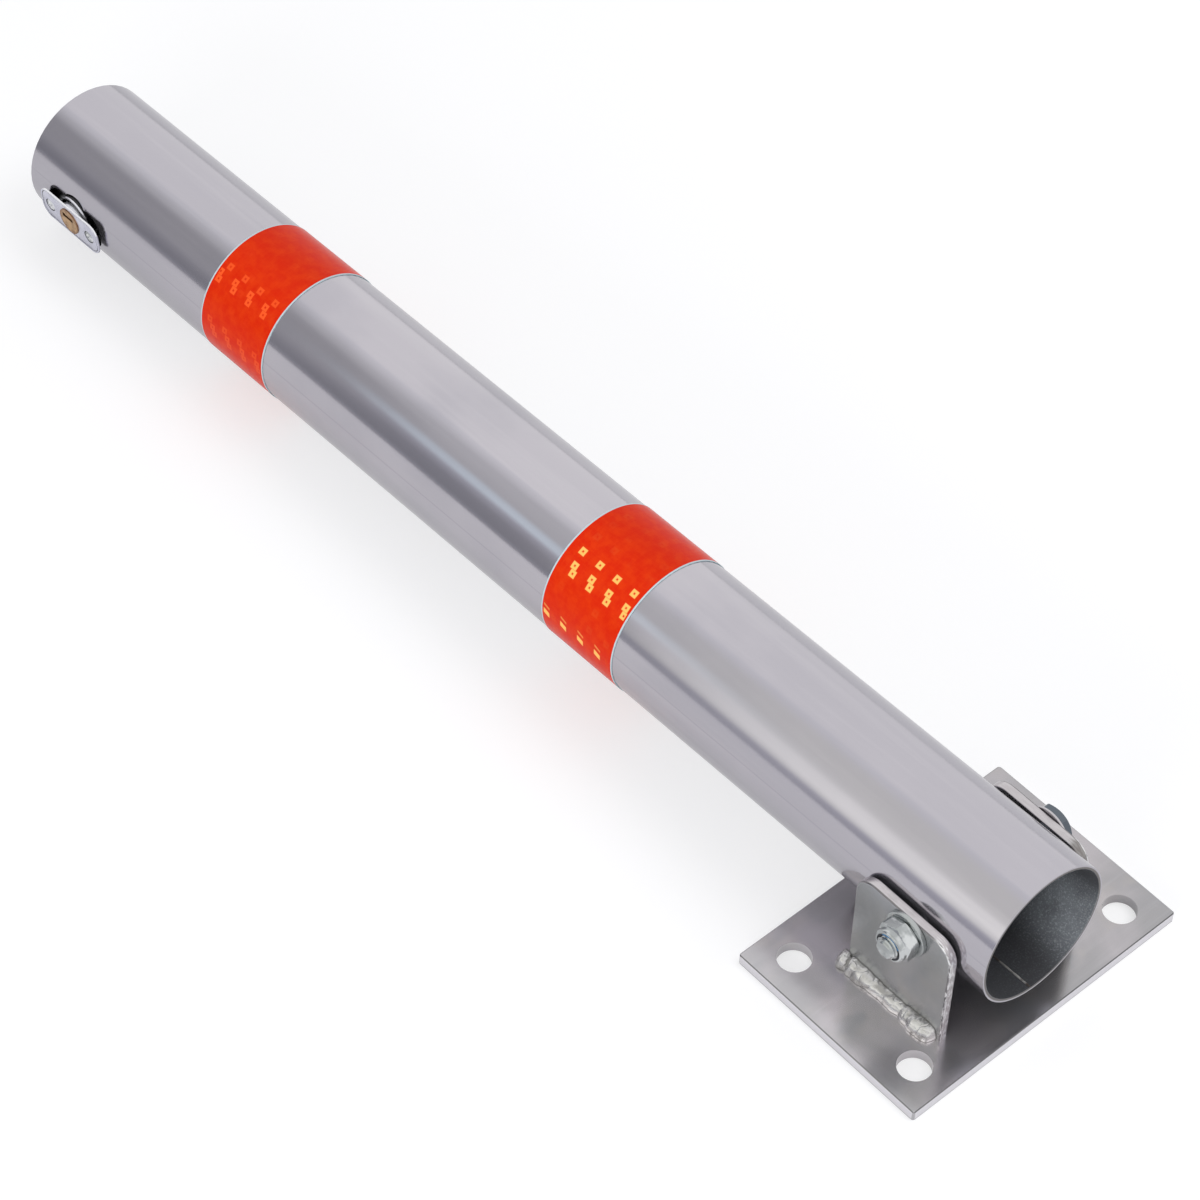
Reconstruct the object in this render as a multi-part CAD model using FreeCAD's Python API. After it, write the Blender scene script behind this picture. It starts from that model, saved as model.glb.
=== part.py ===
"""Fold-down parking bollard: slotted base plate with two ears, a steel post and its key lock.

Millimetres, +Z up. The origin is the centre of the base plate's underside. The post lies folded
towards -X with its free end on the ground, and its open mouth points to +X. The hinge bolt lies
along Y, nut on the -Y side.
"""
import FreeCAD
import Part
import math
import os

from FreeCAD import Rotation, Vector

# Base plate
PLATE_LENGTH = 116.0
PLATE_WIDTH = 172.0
PLATE_THICKNESS = 6.0
PLATE_CORNER = 1.5
PLATE_EDGE_BREAK = 0.5
ANCHOR_SPACING_X = 79.5
ANCHOR_SPACING_Y = 135.0
ANCHOR_HOLE_R = 8.5

# Hinge bolt, along Y
BOLT_R = 6.0
BOLT_HEAD_FLATS = 19.0
BOLT_HEAD_HEIGHT = 5.0
BOLT_HEAD_TURN = 0.0
BOLT_TIP_LENGTH = 3.2
BOLT_TIP_CHAMFER = 1.5
THREAD_CLEARANCE = 0.05
HINGE_CLEARANCE = 0.05
WASHER_R = 12.0
NUT_WASHER_THICKNESS = 2.5
HEAD_WASHER_THICKNESS = 1.2
WASHER_CLEARANCE = 0.25
NUT_FLATS = 19.0
NUT_TURN = 23.0
NUT_HEX_HEIGHT = 7.0
NUT_COLLAR_R = 8.9
NUT_COLLAR_HEIGHT = 3.2
NUT_RING_R = 7.1
NUT_RING_HEIGHT = 2.2

# Post
POST_R = 38.0
POST_WALL = 2.0
POST_MOUTH = 41.0
POST_FREE = 673.8
CAP_THICKNESS = 3.0
CAP_SEAT = 0.05
SWING_CLEARANCE = 0.6
SEAT_CLEARANCE = 0.3
SLOT_CLEARANCE = 0.4

# Place of the hinge on the base plate
PIVOT_X = 10.8
AXIS_Y = -5.3

# Ears
EAR_WIDTH = 60.0
EAR_THICKNESS = 5.0
EAR_CENTRE_X = -3.6
EAR_RISE = 10.2
EAR_CORNER_R = 11.0
NEAR_EAR_GAP = 1.3
FAR_EAR_GAP = 2.3
EAR_HOLE_CLEARANCE = 0.3
EAR_EDGE_BREAK = 0.4

# Weld beads along the foot of each ear
WELD_START = -31.5
WELD_LENGTH = 51.5
WELD_LEG = 8.0
WELD_RIPPLES = 13
WELD_RIPPLE_SWELL = 0.8

# Reflective tape
TAPE_WIDTH = 50.8
TAPE_THICKNESS = 0.35
TAPE_SEAT = 0.03
LOWER_TAPE_CENTRE = 232.4
UPPER_TAPE_CENTRE = 500.0

# Pull rod inside the post
ROD_R = 5.0
ROD_EYE_R = 12.0
ROD_EYE_WIDTH = 12.0
SPACER_R = 9.0
SPACER_WALL = 2.5
SPACER_END_GAP = 0.3
GUIDE_THICKNESS = 3.0
GUIDE_FROM_LOCK = 78.0
GUIDE_CLEARANCE = 0.1

# Lock, near the free end
LOCK_FROM_FREE_END = 38.1
LOCK_DOWN_ANGLE = 3.8
FACE_LENGTH = 50.0
FACE_WIDTH = 19.5
FACE_THICKNESS = 1.2
FACE_STANDOFF = 2.3
PLUG_R = 7.7
PLUG_CLEARANCE = 0.06
PLUG_PROUD = 0.5
PLUG_FLANGE_R = 8.6
PLUG_FLANGE_DEPTH = 2.0
KEYWAY_LENGTH = 8.5
KEYWAY_WIDTH = 1.8
KEYWAY_DEPTH = 16.0
KEYWAY_RISE = 2.4
KEYWAY_SHIFT = 0.4
KEYWAY_WARD = 0.8
LOCK_BODY_R = 12.6
LOCK_BODY_DEPTH = 22.3
LOCK_BARREL_R = 9.6
LOCK_RIM_WALL = 1.0
LOCK_RIM_DEPTH = 4.5
LOCK_RIM_BELOW = 2.2
LOCK_SCREW_X = 17.0
LOCK_SCREW_R = 2.0
LOCK_SCREW_HEAD_R = 3.4
LOCK_SCREW_HEAD_DEPTH = 1.0
LOCK_SCREW_SUNK = 0.45
SCREW_CLEARANCE = 0.15
RECESS_WIDTH = 0.9
STRAP_LENGTH = 66.0
STRAP_WIDTH = 28.0
STRAP_THICKNESS = 3.0
STRAP_SEAT = 0.1
CUTOUT_LENGTH = 46.0
CUTOUT_WIDTH = 21.0
CUTOUT_BULGE_R = 13.5

# Tongue that the key drives
TONGUE_TRAVEL = 8.0
TONGUE_THICKNESS = 3.0
TONGUE_WIDTH = 18.0
TONGUE_LENGTH = 12.5
TONGUE_FOOT = 9.5
TONGUE_NOSE_WIDTH = 8.0
TONGUE_NOSE_LENGTH = 9.5
TONGUE_GAP = 0.2
DRIVE_PIN_R = 1.5
DRIVE_PIN_CLEARANCE = 0.4
CASE_WALL = 1.8
CASE_COVER = 1.3
CASE_HEIGHT = 19.0
CATCH_THICKNESS = 4.0
CATCH_REACH = 11.0
CATCH_GAP = 0.5
CATCH_SIDE_GAP = 1.0

# Derived sizes
CORNER_RADIUS = math.hypot(POST_MOUTH, POST_R)
PIVOT_Z = PLATE_THICKNESS + CORNER_RADIUS + SWING_CLEARANCE
TILT = math.asin(PIVOT_Z / math.hypot(POST_FREE, POST_R)) - math.atan2(POST_R, POST_FREE)
SEAT_TRAVEL = PIVOT_Z - PLATE_THICKNESS - POST_MOUTH - SEAT_CLEARANCE
BORE_R = POST_R - POST_WALL
NEAR_EAR_OUTER = POST_R + NEAR_EAR_GAP + EAR_THICKNESS
FAR_EAR_OUTER = POST_R + FAR_EAR_GAP + EAR_THICKNESS
NUT_SEAT = NEAR_EAR_OUTER + NUT_WASHER_THICKNESS
HEAD_SEAT = FAR_EAR_OUTER + HEAD_WASHER_THICKNESS
EAR_TOP = PIVOT_Z + EAR_RISE
SLOT_R = BOLT_R + SLOT_CLEARANCE
FACE_BACK = POST_R + FACE_STANDOFF
FACE_FRONT = FACE_BACK + FACE_THICKNESS
LOCK_X = LOCK_FROM_FREE_END - POST_FREE
LOCK_BODY_REAR = FACE_BACK - LOCK_BODY_DEPTH
PLUG_REAR = LOCK_BODY_REAR
TONGUE_FRONT = LOCK_BODY_REAR - TONGUE_GAP
TONGUE_REAR = TONGUE_FRONT - TONGUE_THICKNESS
DRIVE_PIN_ORBIT = TONGUE_TRAVEL / math.sqrt(2.0)
DRIVE_PIN_REST = TONGUE_TRAVEL / 2.0
CASE_HALF = TONGUE_WIDTH / 2.0 + TONGUE_GAP + CASE_WALL
CASE_REAR = TONGUE_REAR - TONGUE_GAP - CASE_COVER
STRAP_FRONT = math.sqrt(BORE_R ** 2 - (STRAP_WIDTH / 2.0) ** 2) - STRAP_SEAT
SEATED_LOCK_X = LOCK_X + SEAT_TRAVEL
CATCH_FRONT_X = SEATED_LOCK_X - TONGUE_NOSE_WIDTH / 2.0 - CATCH_GAP
NOSE_REST = TONGUE_LENGTH - TONGUE_FOOT + TONGUE_NOSE_LENGTH

X_AXIS = Vector(1, 0, 0)
Y_AXIS = Vector(0, 1, 0)
Z_AXIS = Vector(0, 0, 1)


def box(x0, x1, y0, y1, z0, z1):
    """Box between two corners."""
    return Part.makeBox(x1 - x0, y1 - y0, z1 - z0, Vector(x0, y0, z0))


def rod_y(radius, y0, y1, x=0.0, z=0.0):
    """Cylinder along Y from y0 to y1."""
    return Part.makeCylinder(radius, y1 - y0, Vector(x, y0, z), Y_AXIS)


def rod_x(radius, x0, x1):
    """Cylinder along X from x0 to x1, on the X axis."""
    return Part.makeCylinder(radius, x1 - x0, Vector(x0, 0, 0), X_AXIS)


def ring_y(outer, inner, y0, y1):
    """Ring about the Y axis."""
    return rod_y(outer, y0, y1).cut(rod_y(inner, y0 - 1.0, y1 + 1.0))


def stadium_y(length, width, y0, y1, x=0.0):
    """Slot shape along X, extruded along Y."""
    half = width / 2.0
    straight = length / 2.0 - half
    middle = box(x - straight, x + straight, y0, y1, -half, half)
    ends = [rod_y(half, y0, y1, x + side * straight) for side in (-1.0, 1.0)]
    return middle.multiFuse(ends).removeSplitter()


def hexagon_y(flats, y0, y1, chamfer_at, turn):
    """Hexagon along Y, one corner turned from +X to +Z, corners turned off at y = chamfer_at."""
    corner = flats / math.sqrt(3.0)
    points = []
    for index in range(7):
        angle = math.radians(60.0 * index + turn)
        points.append(Vector(corner * math.cos(angle), y0, corner * math.sin(angle)))
    prism = Part.Face(Part.makePolygon(points)).extrude(Vector(0, y1 - y0, 0))
    height = y1 - y0
    slope = (corner - flats / 2.0) * 1.1
    base, tip = (y0, y1) if chamfer_at == y1 else (y1, y0)
    way = Y_AXIS if tip > base else -Y_AXIS
    lower = Part.makeCylinder(corner + 0.1, height - slope / 2.0, Vector(0, base, 0), way)
    top_start = base + (height - slope / 2.0) * way.y
    upper = Part.makeCone(corner + 0.1, corner - slope, slope / 2.0, Vector(0, top_start, 0), way)
    return prism.common(lower.fuse(upper))


def to_pivot(shape):
    """Moves a shape made about the hinge axis to the base."""
    shape.translate(Vector(PIVOT_X, AXIS_Y, PIVOT_Z))
    return shape


def to_post(shape):
    """Moves a shape made along the post's own axis to its folded place."""
    shape.rotate(Vector(0, 0, 0), Y_AXIS, -math.degrees(TILT))
    return to_pivot(shape)


def to_lock(shape):
    """Moves a shape made with its front towards -Y to the lock's place on the post."""
    shape.translate(Vector(LOCK_X, 0, 0))
    shape.rotate(Vector(0, 0, 0), X_AXIS, LOCK_DOWN_ANGLE)
    return to_post(shape)


# Base

def base_plate():
    """Flat plate with four anchor holes."""
    half_x = PLATE_LENGTH / 2.0
    half_y = PLATE_WIDTH / 2.0
    plate = box(-half_x, half_x, -half_y, half_y, 0.0, PLATE_THICKNESS)
    upright = [e for e in plate.Edges if abs(e.tangentAt(e.FirstParameter).z) > 0.9]
    plate = plate.makeFillet(PLATE_CORNER, upright)
    rim = [e for e in plate.Edges if e.BoundBox.ZMin > PLATE_THICKNESS - 0.01]
    plate = plate.makeChamfer(PLATE_EDGE_BREAK, rim)
    for side_x in (-1.0, 1.0):
        for side_y in (-1.0, 1.0):
            centre = Vector(side_x * ANCHOR_SPACING_X / 2.0, side_y * ANCHOR_SPACING_Y / 2.0, -1.0)
            plate = plate.cut(Part.makeCylinder(ANCHOR_HOLE_R, PLATE_THICKNESS + 2.0, centre))
    return plate


def ear_outside(side):
    """Outer face of an ear, measured from the post's axis, side -1 near or +1 far."""
    return -NEAR_EAR_OUTER if side < 0 else FAR_EAR_OUTER


def ear(side):
    """Upright ear with rounded top corners and the bolt hole, side -1 near or +1 far."""
    outer_face = ear_outside(side)
    y0, y1 = sorted((outer_face - side * EAR_THICKNESS, outer_face))
    left = EAR_CENTRE_X - EAR_WIDTH / 2.0
    right = EAR_CENTRE_X + EAR_WIDTH / 2.0
    blank = box(left, right, y0, y1, PLATE_THICKNESS - PIVOT_Z, EAR_RISE)
    corners = []
    for edge in blank.Edges:
        along_y = abs(edge.tangentAt(edge.FirstParameter).y) > 0.9
        if along_y and edge.BoundBox.ZMin > EAR_RISE - 0.01:
            corners.append(edge)
    blank = blank.makeFillet(EAR_CORNER_R, corners)
    rim = []
    for edge in blank.Edges:
        bounds = edge.BoundBox
        on_face = abs(bounds.YMin - outer_face) < 0.01 and abs(bounds.YMax - outer_face) < 0.01
        if on_face and bounds.ZMax > PLATE_THICKNESS - PIVOT_Z + 0.01:
            rim.append(edge)
    blank = blank.makeChamfer(EAR_EDGE_BREAK, rim)
    hole = rod_y(BOLT_R + EAR_HOLE_CLEARANCE, y0 - 1.0, y1 + 1.0)
    return to_pivot(blank.cut(hole))


def ear_weld(side):
    """Rippled fillet bead along the outside foot of an ear."""
    floor = PLATE_THICKNESS - PIVOT_Z
    wall = ear_outside(side)
    start = WELD_START
    pitch = WELD_LENGTH / (WELD_RIPPLES - 1)
    outline = [
        Vector(start, wall, floor),
        Vector(start, wall + side * WELD_LEG * 0.9, floor),
        Vector(start, wall, floor + WELD_LEG * 0.9),
        Vector(start, wall, floor),
    ]
    bead = Part.Face(Part.makePolygon(outline)).extrude(Vector(WELD_LENGTH, 0, 0))
    ripples = []
    for index in range(WELD_RIPPLES):
        swell = WELD_RIPPLE_SWELL * math.sin(index * 2.1) / 2.0
        centre = Vector(start + index * pitch, wall + side * 1.2, floor + 1.2)
        ripples.append(Part.makeSphere(WELD_LEG * 0.72 + swell, centre))
    bead = bead.multiFuse(ripples)
    reach = WELD_LEG + 4.0
    y0, y1 = sorted((wall, wall + side * reach))
    quarter = box(start - reach, start + WELD_LENGTH + reach, y0, y1, floor, floor + reach)
    return to_pivot(bead.common(quarter))


def hinge_bolt():
    """Hexagon-head bolt through both ears, its tip just past the nut."""
    tip = -(NUT_SEAT + NUT_HEX_HEIGHT + NUT_COLLAR_HEIGHT + BOLT_TIP_LENGTH)
    shank = rod_y(BOLT_R, tip + BOLT_TIP_CHAMFER, HEAD_SEAT)
    point = Part.makeCone(
        BOLT_R - BOLT_TIP_CHAMFER, BOLT_R, BOLT_TIP_CHAMFER, Vector(0, tip, 0), Y_AXIS)
    head_end = HEAD_SEAT + BOLT_HEAD_HEIGHT
    head = hexagon_y(BOLT_HEAD_FLATS, HEAD_SEAT, head_end, head_end, BOLT_HEAD_TURN)
    return to_pivot(shank.multiFuse([point, head]))


def washer(side):
    """Round washer on the outside of an ear."""
    seat = -NUT_SEAT if side < 0 else HEAD_SEAT
    y0, y1 = sorted((ear_outside(side), seat))
    return to_pivot(ring_y(WASHER_R, BOLT_R + WASHER_CLEARANCE, y0, y1))


def hinge_nut():
    """Self-locking nut: hexagon, round collar and the groove for its ring."""
    seat = -NUT_SEAT
    shoulder = seat - NUT_HEX_HEIGHT
    end = shoulder - NUT_COLLAR_HEIGHT
    nut = hexagon_y(NUT_FLATS, shoulder, seat, shoulder, NUT_TURN)
    collar = rod_y(NUT_COLLAR_R, end, shoulder + 0.5)
    rim = [e for e in collar.Edges if abs(e.BoundBox.YMax - end) < 0.01]
    collar = collar.makeFillet(1.0, rim)
    nut = nut.fuse(collar)
    nut = nut.cut(rod_y(BOLT_R + THREAD_CLEARANCE, end - 1.0, seat + 1.0))
    return to_pivot(nut.cut(rod_y(NUT_RING_R, end - 1.0, end + NUT_RING_HEIGHT)))


def nut_ring():
    """Nylon ring held in the nut's collar."""
    end = -(NUT_SEAT + NUT_HEX_HEIGHT + NUT_COLLAR_HEIGHT)
    inner = BOLT_R + THREAD_CLEARANCE
    ring = ring_y(NUT_RING_R - THREAD_CLEARANCE, inner, end + 0.4, end + NUT_RING_HEIGHT)
    return to_pivot(ring)


def spacer(side):
    """Sleeve on the bolt that keeps the rod's eye in the middle of the post."""
    slot_wall = math.sqrt(BORE_R ** 2 - SPACER_R ** 2)
    near = ROD_EYE_WIDTH / 2.0 + SPACER_END_GAP
    y0, y1 = sorted((side * near, side * (slot_wall - SPACER_END_GAP)))
    inner = SPACER_R - SPACER_WALL
    return to_pivot(ring_y(SPACER_R, inner, y0, y1))


# Pull rod

def rod_eye():
    """Turned eye that rides on the hinge bolt."""
    half = ROD_EYE_WIDTH / 2.0
    eye = rod_y(ROD_EYE_R, -half, half)
    eye = eye.makeChamfer(0.8, [e for e in eye.Edges if e.BoundBox.YLength < 0.01])
    return to_post(eye.cut(rod_y(BOLT_R + HINGE_CLEARANCE, -half - 1.0, half + 1.0)))


def pull_rod():
    """Round rod from the eye to the catch, its near end coped to the eye."""
    rod = rod_x(ROD_R, CATCH_FRONT_X, 0.0)
    cope = rod_y(ROD_EYE_R, -ROD_R - 1.0, ROD_R + 1.0)
    return to_post(rod.cut(cope))


def catch_plate():
    """Plate on the rod's end, with a shoulder beside the lock's tongue."""
    front = CATCH_FRONT_X
    back = front - CATCH_THICKNESS
    top = NOSE_REST + CATCH_REACH
    inner_y = CASE_REAR - CATCH_SIDE_GAP
    stem = box(back, front, -inner_y, ROD_R, -ROD_R, top)
    shoulder = box(back, front, -TONGUE_FRONT - 1.0, -inner_y, NOSE_REST + CATCH_SIDE_GAP, top)
    plate = stem.fuse(shoulder).removeSplitter()
    plate.rotate(Vector(0, 0, 0), X_AXIS, LOCK_DOWN_ANGLE)
    return to_post(plate)


# Post

def lock_cutout():
    """Slot with a round middle, cut through the post wall for the lock."""
    inner = -POST_R - 5.0
    outer = -BORE_R + 12.0
    slot = stadium_y(CUTOUT_LENGTH, CUTOUT_WIDTH, inner, outer)
    bulge = rod_y(CUTOUT_BULGE_R, inner, outer)
    cutter = slot.fuse(bulge)
    cutter.translate(Vector(LOCK_X, 0, 0))
    cutter.rotate(Vector(0, 0, 0), X_AXIS, LOCK_DOWN_ANGLE)
    return cutter


def hinge_slot():
    """Slot through both walls, as long as the post's travel on the bolt."""
    length = SEAT_TRAVEL + 2.0 * SLOT_R + SEAT_CLEARANCE
    middle = -(SEAT_TRAVEL + SEAT_CLEARANCE) / 2.0
    return stadium_y(length, 2.0 * SLOT_R, -POST_R - 5.0, POST_R + 5.0, middle)


def post_tube():
    """Steel tube with a square-cut mouth, hinge slots and the lock's cut-out."""
    tube = rod_x(POST_R, -POST_FREE, POST_MOUTH)
    tube = tube.cut(rod_x(BORE_R, -POST_FREE - 1.0, POST_MOUTH + 1.0))
    tube = tube.cut(hinge_slot())
    tube = tube.cut(lock_cutout())
    return to_post(tube)


def end_cap():
    """Disc set into the free end of the tube."""
    disc = rod_x(BORE_R - CAP_SEAT, -POST_FREE, -POST_FREE + CAP_THICKNESS)
    return to_post(disc)


def tape(centre):
    """Reflective band wrapped round the tube."""
    start = -centre - TAPE_WIDTH / 2.0
    inner = POST_R + TAPE_SEAT
    band = rod_x(inner + TAPE_THICKNESS, start, start + TAPE_WIDTH)
    return to_post(band.cut(rod_x(inner, start - 1.0, start + TAPE_WIDTH + 1.0)))


def rod_guide():
    """Disc inside the tube that guides the pull rod."""
    start = LOCK_X + GUIDE_FROM_LOCK
    disc = rod_x(BORE_R - CAP_SEAT, start, start + GUIDE_THICKNESS)
    return to_post(disc.cut(rod_x(ROD_R + GUIDE_CLEARANCE, start - 1.0, start + GUIDE_THICKNESS + 1.0)))


# Lock, made with its front towards -Y and its middle at x = 0

def screw_places():
    """Middle of each lock screw along the post."""
    return (-LOCK_SCREW_X, LOCK_SCREW_X)


def lock_faceplate():
    """Stadium plate with the plug's hole and two countersunk holes."""
    plate = stadium_y(FACE_LENGTH, FACE_WIDTH, -FACE_FRONT, -FACE_BACK)
    rim = [e for e in plate.Edges if e.BoundBox.YMax < -FACE_FRONT + 0.01]
    plate = plate.makeFillet(0.35, rim)
    plate = plate.cut(rod_y(PLUG_R + PLUG_CLEARANCE, -FACE_FRONT - 1.0, -FACE_BACK + 1.0))
    for x in screw_places():
        head = LOCK_SCREW_HEAD_R + SCREW_CLEARANCE
        seat = -FACE_FRONT + LOCK_SCREW_SUNK
        plate = plate.cut(rod_y(head, -FACE_FRONT - 1.0, seat, x))
        neck = LOCK_SCREW_R + SCREW_CLEARANCE
        sink = Part.makeCone(head, neck, LOCK_SCREW_HEAD_DEPTH, Vector(x, seat, 0), Y_AXIS)
        plate = plate.cut(sink)
    return to_lock(plate)


def lock_body():
    """Round housing that the plug turns in: a barrel up to the faceplate inside a lower thin rim."""
    rim_front = -FACE_BACK + LOCK_RIM_BELOW
    body = rod_y(LOCK_BODY_R, rim_front, -LOCK_BODY_REAR)
    body = body.cut(rod_y(LOCK_BODY_R - LOCK_RIM_WALL, rim_front - 1.0, rim_front + LOCK_RIM_DEPTH))
    body = body.fuse(rod_y(LOCK_BARREL_R, -FACE_BACK, -LOCK_BODY_REAR)).removeSplitter()
    body = body.cut(rod_y(PLUG_R + PLUG_CLEARANCE, -FACE_BACK - 1.0, -LOCK_BODY_REAR + 1.0))
    seat = rod_y(PLUG_FLANGE_R + PLUG_CLEARANCE, -FACE_BACK - 1.0,
                 -FACE_BACK + PLUG_FLANGE_DEPTH + PLUG_CLEARANCE)
    return to_lock(body.cut(seat))


def lock_strap():
    """Flat strap inside the tube that the lock's screws pull on."""
    half = STRAP_WIDTH / 2.0
    length = STRAP_LENGTH / 2.0
    strap = box(-length, length, -STRAP_FRONT, -STRAP_FRONT + STRAP_THICKNESS, -half, half)
    strap = strap.cut(rod_y(LOCK_BODY_R + SCREW_CLEARANCE, -POST_R, 0.0))
    for x in screw_places():
        strap = strap.cut(rod_y(LOCK_SCREW_R + THREAD_CLEARANCE, -POST_R, 0.0, x))
    return to_lock(strap)


def lock_screw(x):
    """Countersunk screw from the faceplate into the strap, with a cross recess."""
    end = -STRAP_FRONT + STRAP_THICKNESS + 1.5
    front = -FACE_FRONT + LOCK_SCREW_SUNK
    shank = rod_y(LOCK_SCREW_R, front + LOCK_SCREW_HEAD_DEPTH, end, x)
    head = Part.makeCone(LOCK_SCREW_HEAD_R, LOCK_SCREW_R, LOCK_SCREW_HEAD_DEPTH, Vector(x, front, 0), Y_AXIS)
    screw = shank.fuse(head)
    arm = LOCK_SCREW_HEAD_R * 0.62
    half = RECESS_WIDTH / 2.0
    floor = front + LOCK_SCREW_HEAD_DEPTH
    along = box(x - arm, x + arm, front - 1.0, floor, -half, half)
    across = box(x - half, x + half, front - 1.0, floor, -arm, arm)
    return screw.cut(along).cut(across)


def lock_screws():
    """Both faceplate screws, as one group of solids."""
    return to_lock(Part.makeCompound([lock_screw(x) for x in screw_places()]))


def lock_plug():
    """Brass plug with its keyway and the off-centre pin that drives the tongue."""
    front = -FACE_FRONT - PLUG_PROUD
    plug = rod_y(PLUG_R, front, -PLUG_REAR)
    flange = rod_y(PLUG_FLANGE_R, -FACE_BACK + PLUG_CLEARANCE, -FACE_BACK + PLUG_FLANGE_DEPTH)
    plug = plug.fuse(flange)
    low = KEYWAY_RISE - KEYWAY_WIDTH / 2.0
    high = KEYWAY_RISE + KEYWAY_WIDTH / 2.0
    start = -KEYWAY_LENGTH / 2.0 - KEYWAY_SHIFT
    end = start + KEYWAY_LENGTH
    plug = plug.cut(box(start, end, front - 1.0, front + KEYWAY_DEPTH, low, high))
    ward = start + KEYWAY_LENGTH / 4.0
    plug = plug.cut(box(start, ward, front - 1.0, front + KEYWAY_DEPTH, low, high + KEYWAY_WARD))
    angle = math.radians(-45.0)
    pin_x = DRIVE_PIN_ORBIT * math.cos(angle)
    pin_z = DRIVE_PIN_ORBIT * math.sin(angle)
    pin = rod_y(DRIVE_PIN_R, -PLUG_REAR - 1.0, -TONGUE_REAR, pin_x, pin_z)
    return to_lock(plug.fuse(pin))


def lock_tongue():
    """Flat tongue with a cross slot for the drive pin and a narrower nose."""
    half = TONGUE_WIDTH / 2.0
    shoulder = TONGUE_LENGTH - TONGUE_FOOT
    tongue = box(-half, half, -TONGUE_FRONT, -TONGUE_REAR, -TONGUE_FOOT, shoulder)
    nose = TONGUE_NOSE_WIDTH / 2.0
    tongue = tongue.fuse(box(-nose, nose, -TONGUE_FRONT, -TONGUE_REAR, shoulder - 1.0, NOSE_REST))
    tongue = tongue.removeSplitter()
    width = 2.0 * (DRIVE_PIN_R + DRIVE_PIN_CLEARANCE)
    near = DRIVE_PIN_REST - DRIVE_PIN_R - DRIVE_PIN_CLEARANCE
    far = DRIVE_PIN_ORBIT + DRIVE_PIN_R + DRIVE_PIN_CLEARANCE
    slot = stadium_y(far - near, width, -TONGUE_FRONT - 1.0, -TONGUE_REAR + 1.0, (near + far) / 2.0)
    slot.translate(Vector(0, 0, -DRIVE_PIN_REST))
    return to_lock(tongue.cut(slot))


def lock_case():
    """Channel behind the lock body that guides the tongue."""
    half = CASE_HALF
    inner = half - CASE_WALL
    height = CASE_HEIGHT / 2.0
    front = -LOCK_BODY_REAR
    case = box(-half, half, front, -CASE_REAR, -height, height)
    channel = box(-inner, inner, front - 1.0, -CASE_REAR - CASE_COVER, -height - 1.0, height + 1.0)
    return to_lock(case.cut(channel))


NODES = {
    "base_plate": base_plate,
    "near_ear": lambda: ear(-1),
    "far_ear": lambda: ear(1),
    "near_ear_weld": lambda: ear_weld(-1),
    "far_ear_weld": lambda: ear_weld(1),
    "hinge_bolt": hinge_bolt,
    "nut_washer": lambda: washer(-1),
    "head_washer": lambda: washer(1),
    "hinge_nut": hinge_nut,
    "nut_ring": nut_ring,
    "near_spacer": lambda: spacer(-1),
    "far_spacer": lambda: spacer(1),
    "rod_eye": rod_eye,
    "pull_rod": pull_rod,
    "catch_plate": catch_plate,
    "post_tube": post_tube,
    "end_cap": end_cap,
    "rod_guide": rod_guide,
    "lower_tape": lambda: tape(LOWER_TAPE_CENTRE),
    "upper_tape": lambda: tape(UPPER_TAPE_CENTRE),
    "lock_faceplate": lock_faceplate,
    "lock_body": lock_body,
    "lock_strap": lock_strap,
    "lock_screws": lock_screws,
    "lock_case": lock_case,
    "lock_plug": lock_plug,
    "lock_tongue": lock_tongue,
}


def main():
    """Writes one STEP file for each piece and prints the joint values."""
    os.makedirs("parts", exist_ok=True)
    for name, make in NODES.items():
        shape = make()
        solids = shape.Solids
        valid = all(s.isValid() for s in solids)
        print("%-16s solids %d volume %10.1f valid %s" % (name, len(solids), shape.Volume, valid))
        shape.exportStep("parts/" + name + ".step")
    lock_out = FreeCAD.Vector(0, -1, 0)
    lock_out = Rotation(X_AXIS, LOCK_DOWN_ANGLE).multVec(lock_out)
    lock_out = Rotation(Y_AXIS, -math.degrees(TILT)).multVec(lock_out)
    lock_up = Rotation(X_AXIS, LOCK_DOWN_ANGLE).multVec(Z_AXIS)
    lock_up = Rotation(Y_AXIS, -math.degrees(TILT)).multVec(lock_up)
    along = Vector(math.cos(TILT), 0, math.sin(TILT))
    lock_at = Vector(PIVOT_X, AXIS_Y, PIVOT_Z) + along * LOCK_X
    print("pivot", PIVOT_X, AXIS_Y, round(PIVOT_Z, 4), "tilt", round(math.degrees(TILT), 4))
    print("seat travel", round(SEAT_TRAVEL, 4), "along", along)
    print("lock at", lock_at, "out", lock_out, "up", lock_up)


main()
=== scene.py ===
"""Looks of the fold-down parking post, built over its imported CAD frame.

Everything is in metres in the row frame: the origin is the centre of the base plate's underside,
+Z is up, +X runs along the folded post towards its open mouth and the nut is on the -Y side.
"""

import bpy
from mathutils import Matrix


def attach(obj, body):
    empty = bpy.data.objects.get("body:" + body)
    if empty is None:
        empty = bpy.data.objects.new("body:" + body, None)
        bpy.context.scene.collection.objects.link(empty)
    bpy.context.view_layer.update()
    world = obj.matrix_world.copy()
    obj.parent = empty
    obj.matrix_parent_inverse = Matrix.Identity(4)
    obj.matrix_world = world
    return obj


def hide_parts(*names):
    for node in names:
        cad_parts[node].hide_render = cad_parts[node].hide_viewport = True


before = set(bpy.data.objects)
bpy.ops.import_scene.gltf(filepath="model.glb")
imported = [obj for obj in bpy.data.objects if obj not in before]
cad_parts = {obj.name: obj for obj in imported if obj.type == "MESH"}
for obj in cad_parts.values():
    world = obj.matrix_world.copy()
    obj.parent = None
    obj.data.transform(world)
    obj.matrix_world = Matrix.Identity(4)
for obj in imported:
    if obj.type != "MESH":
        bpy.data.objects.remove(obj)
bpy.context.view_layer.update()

import logging
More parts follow.
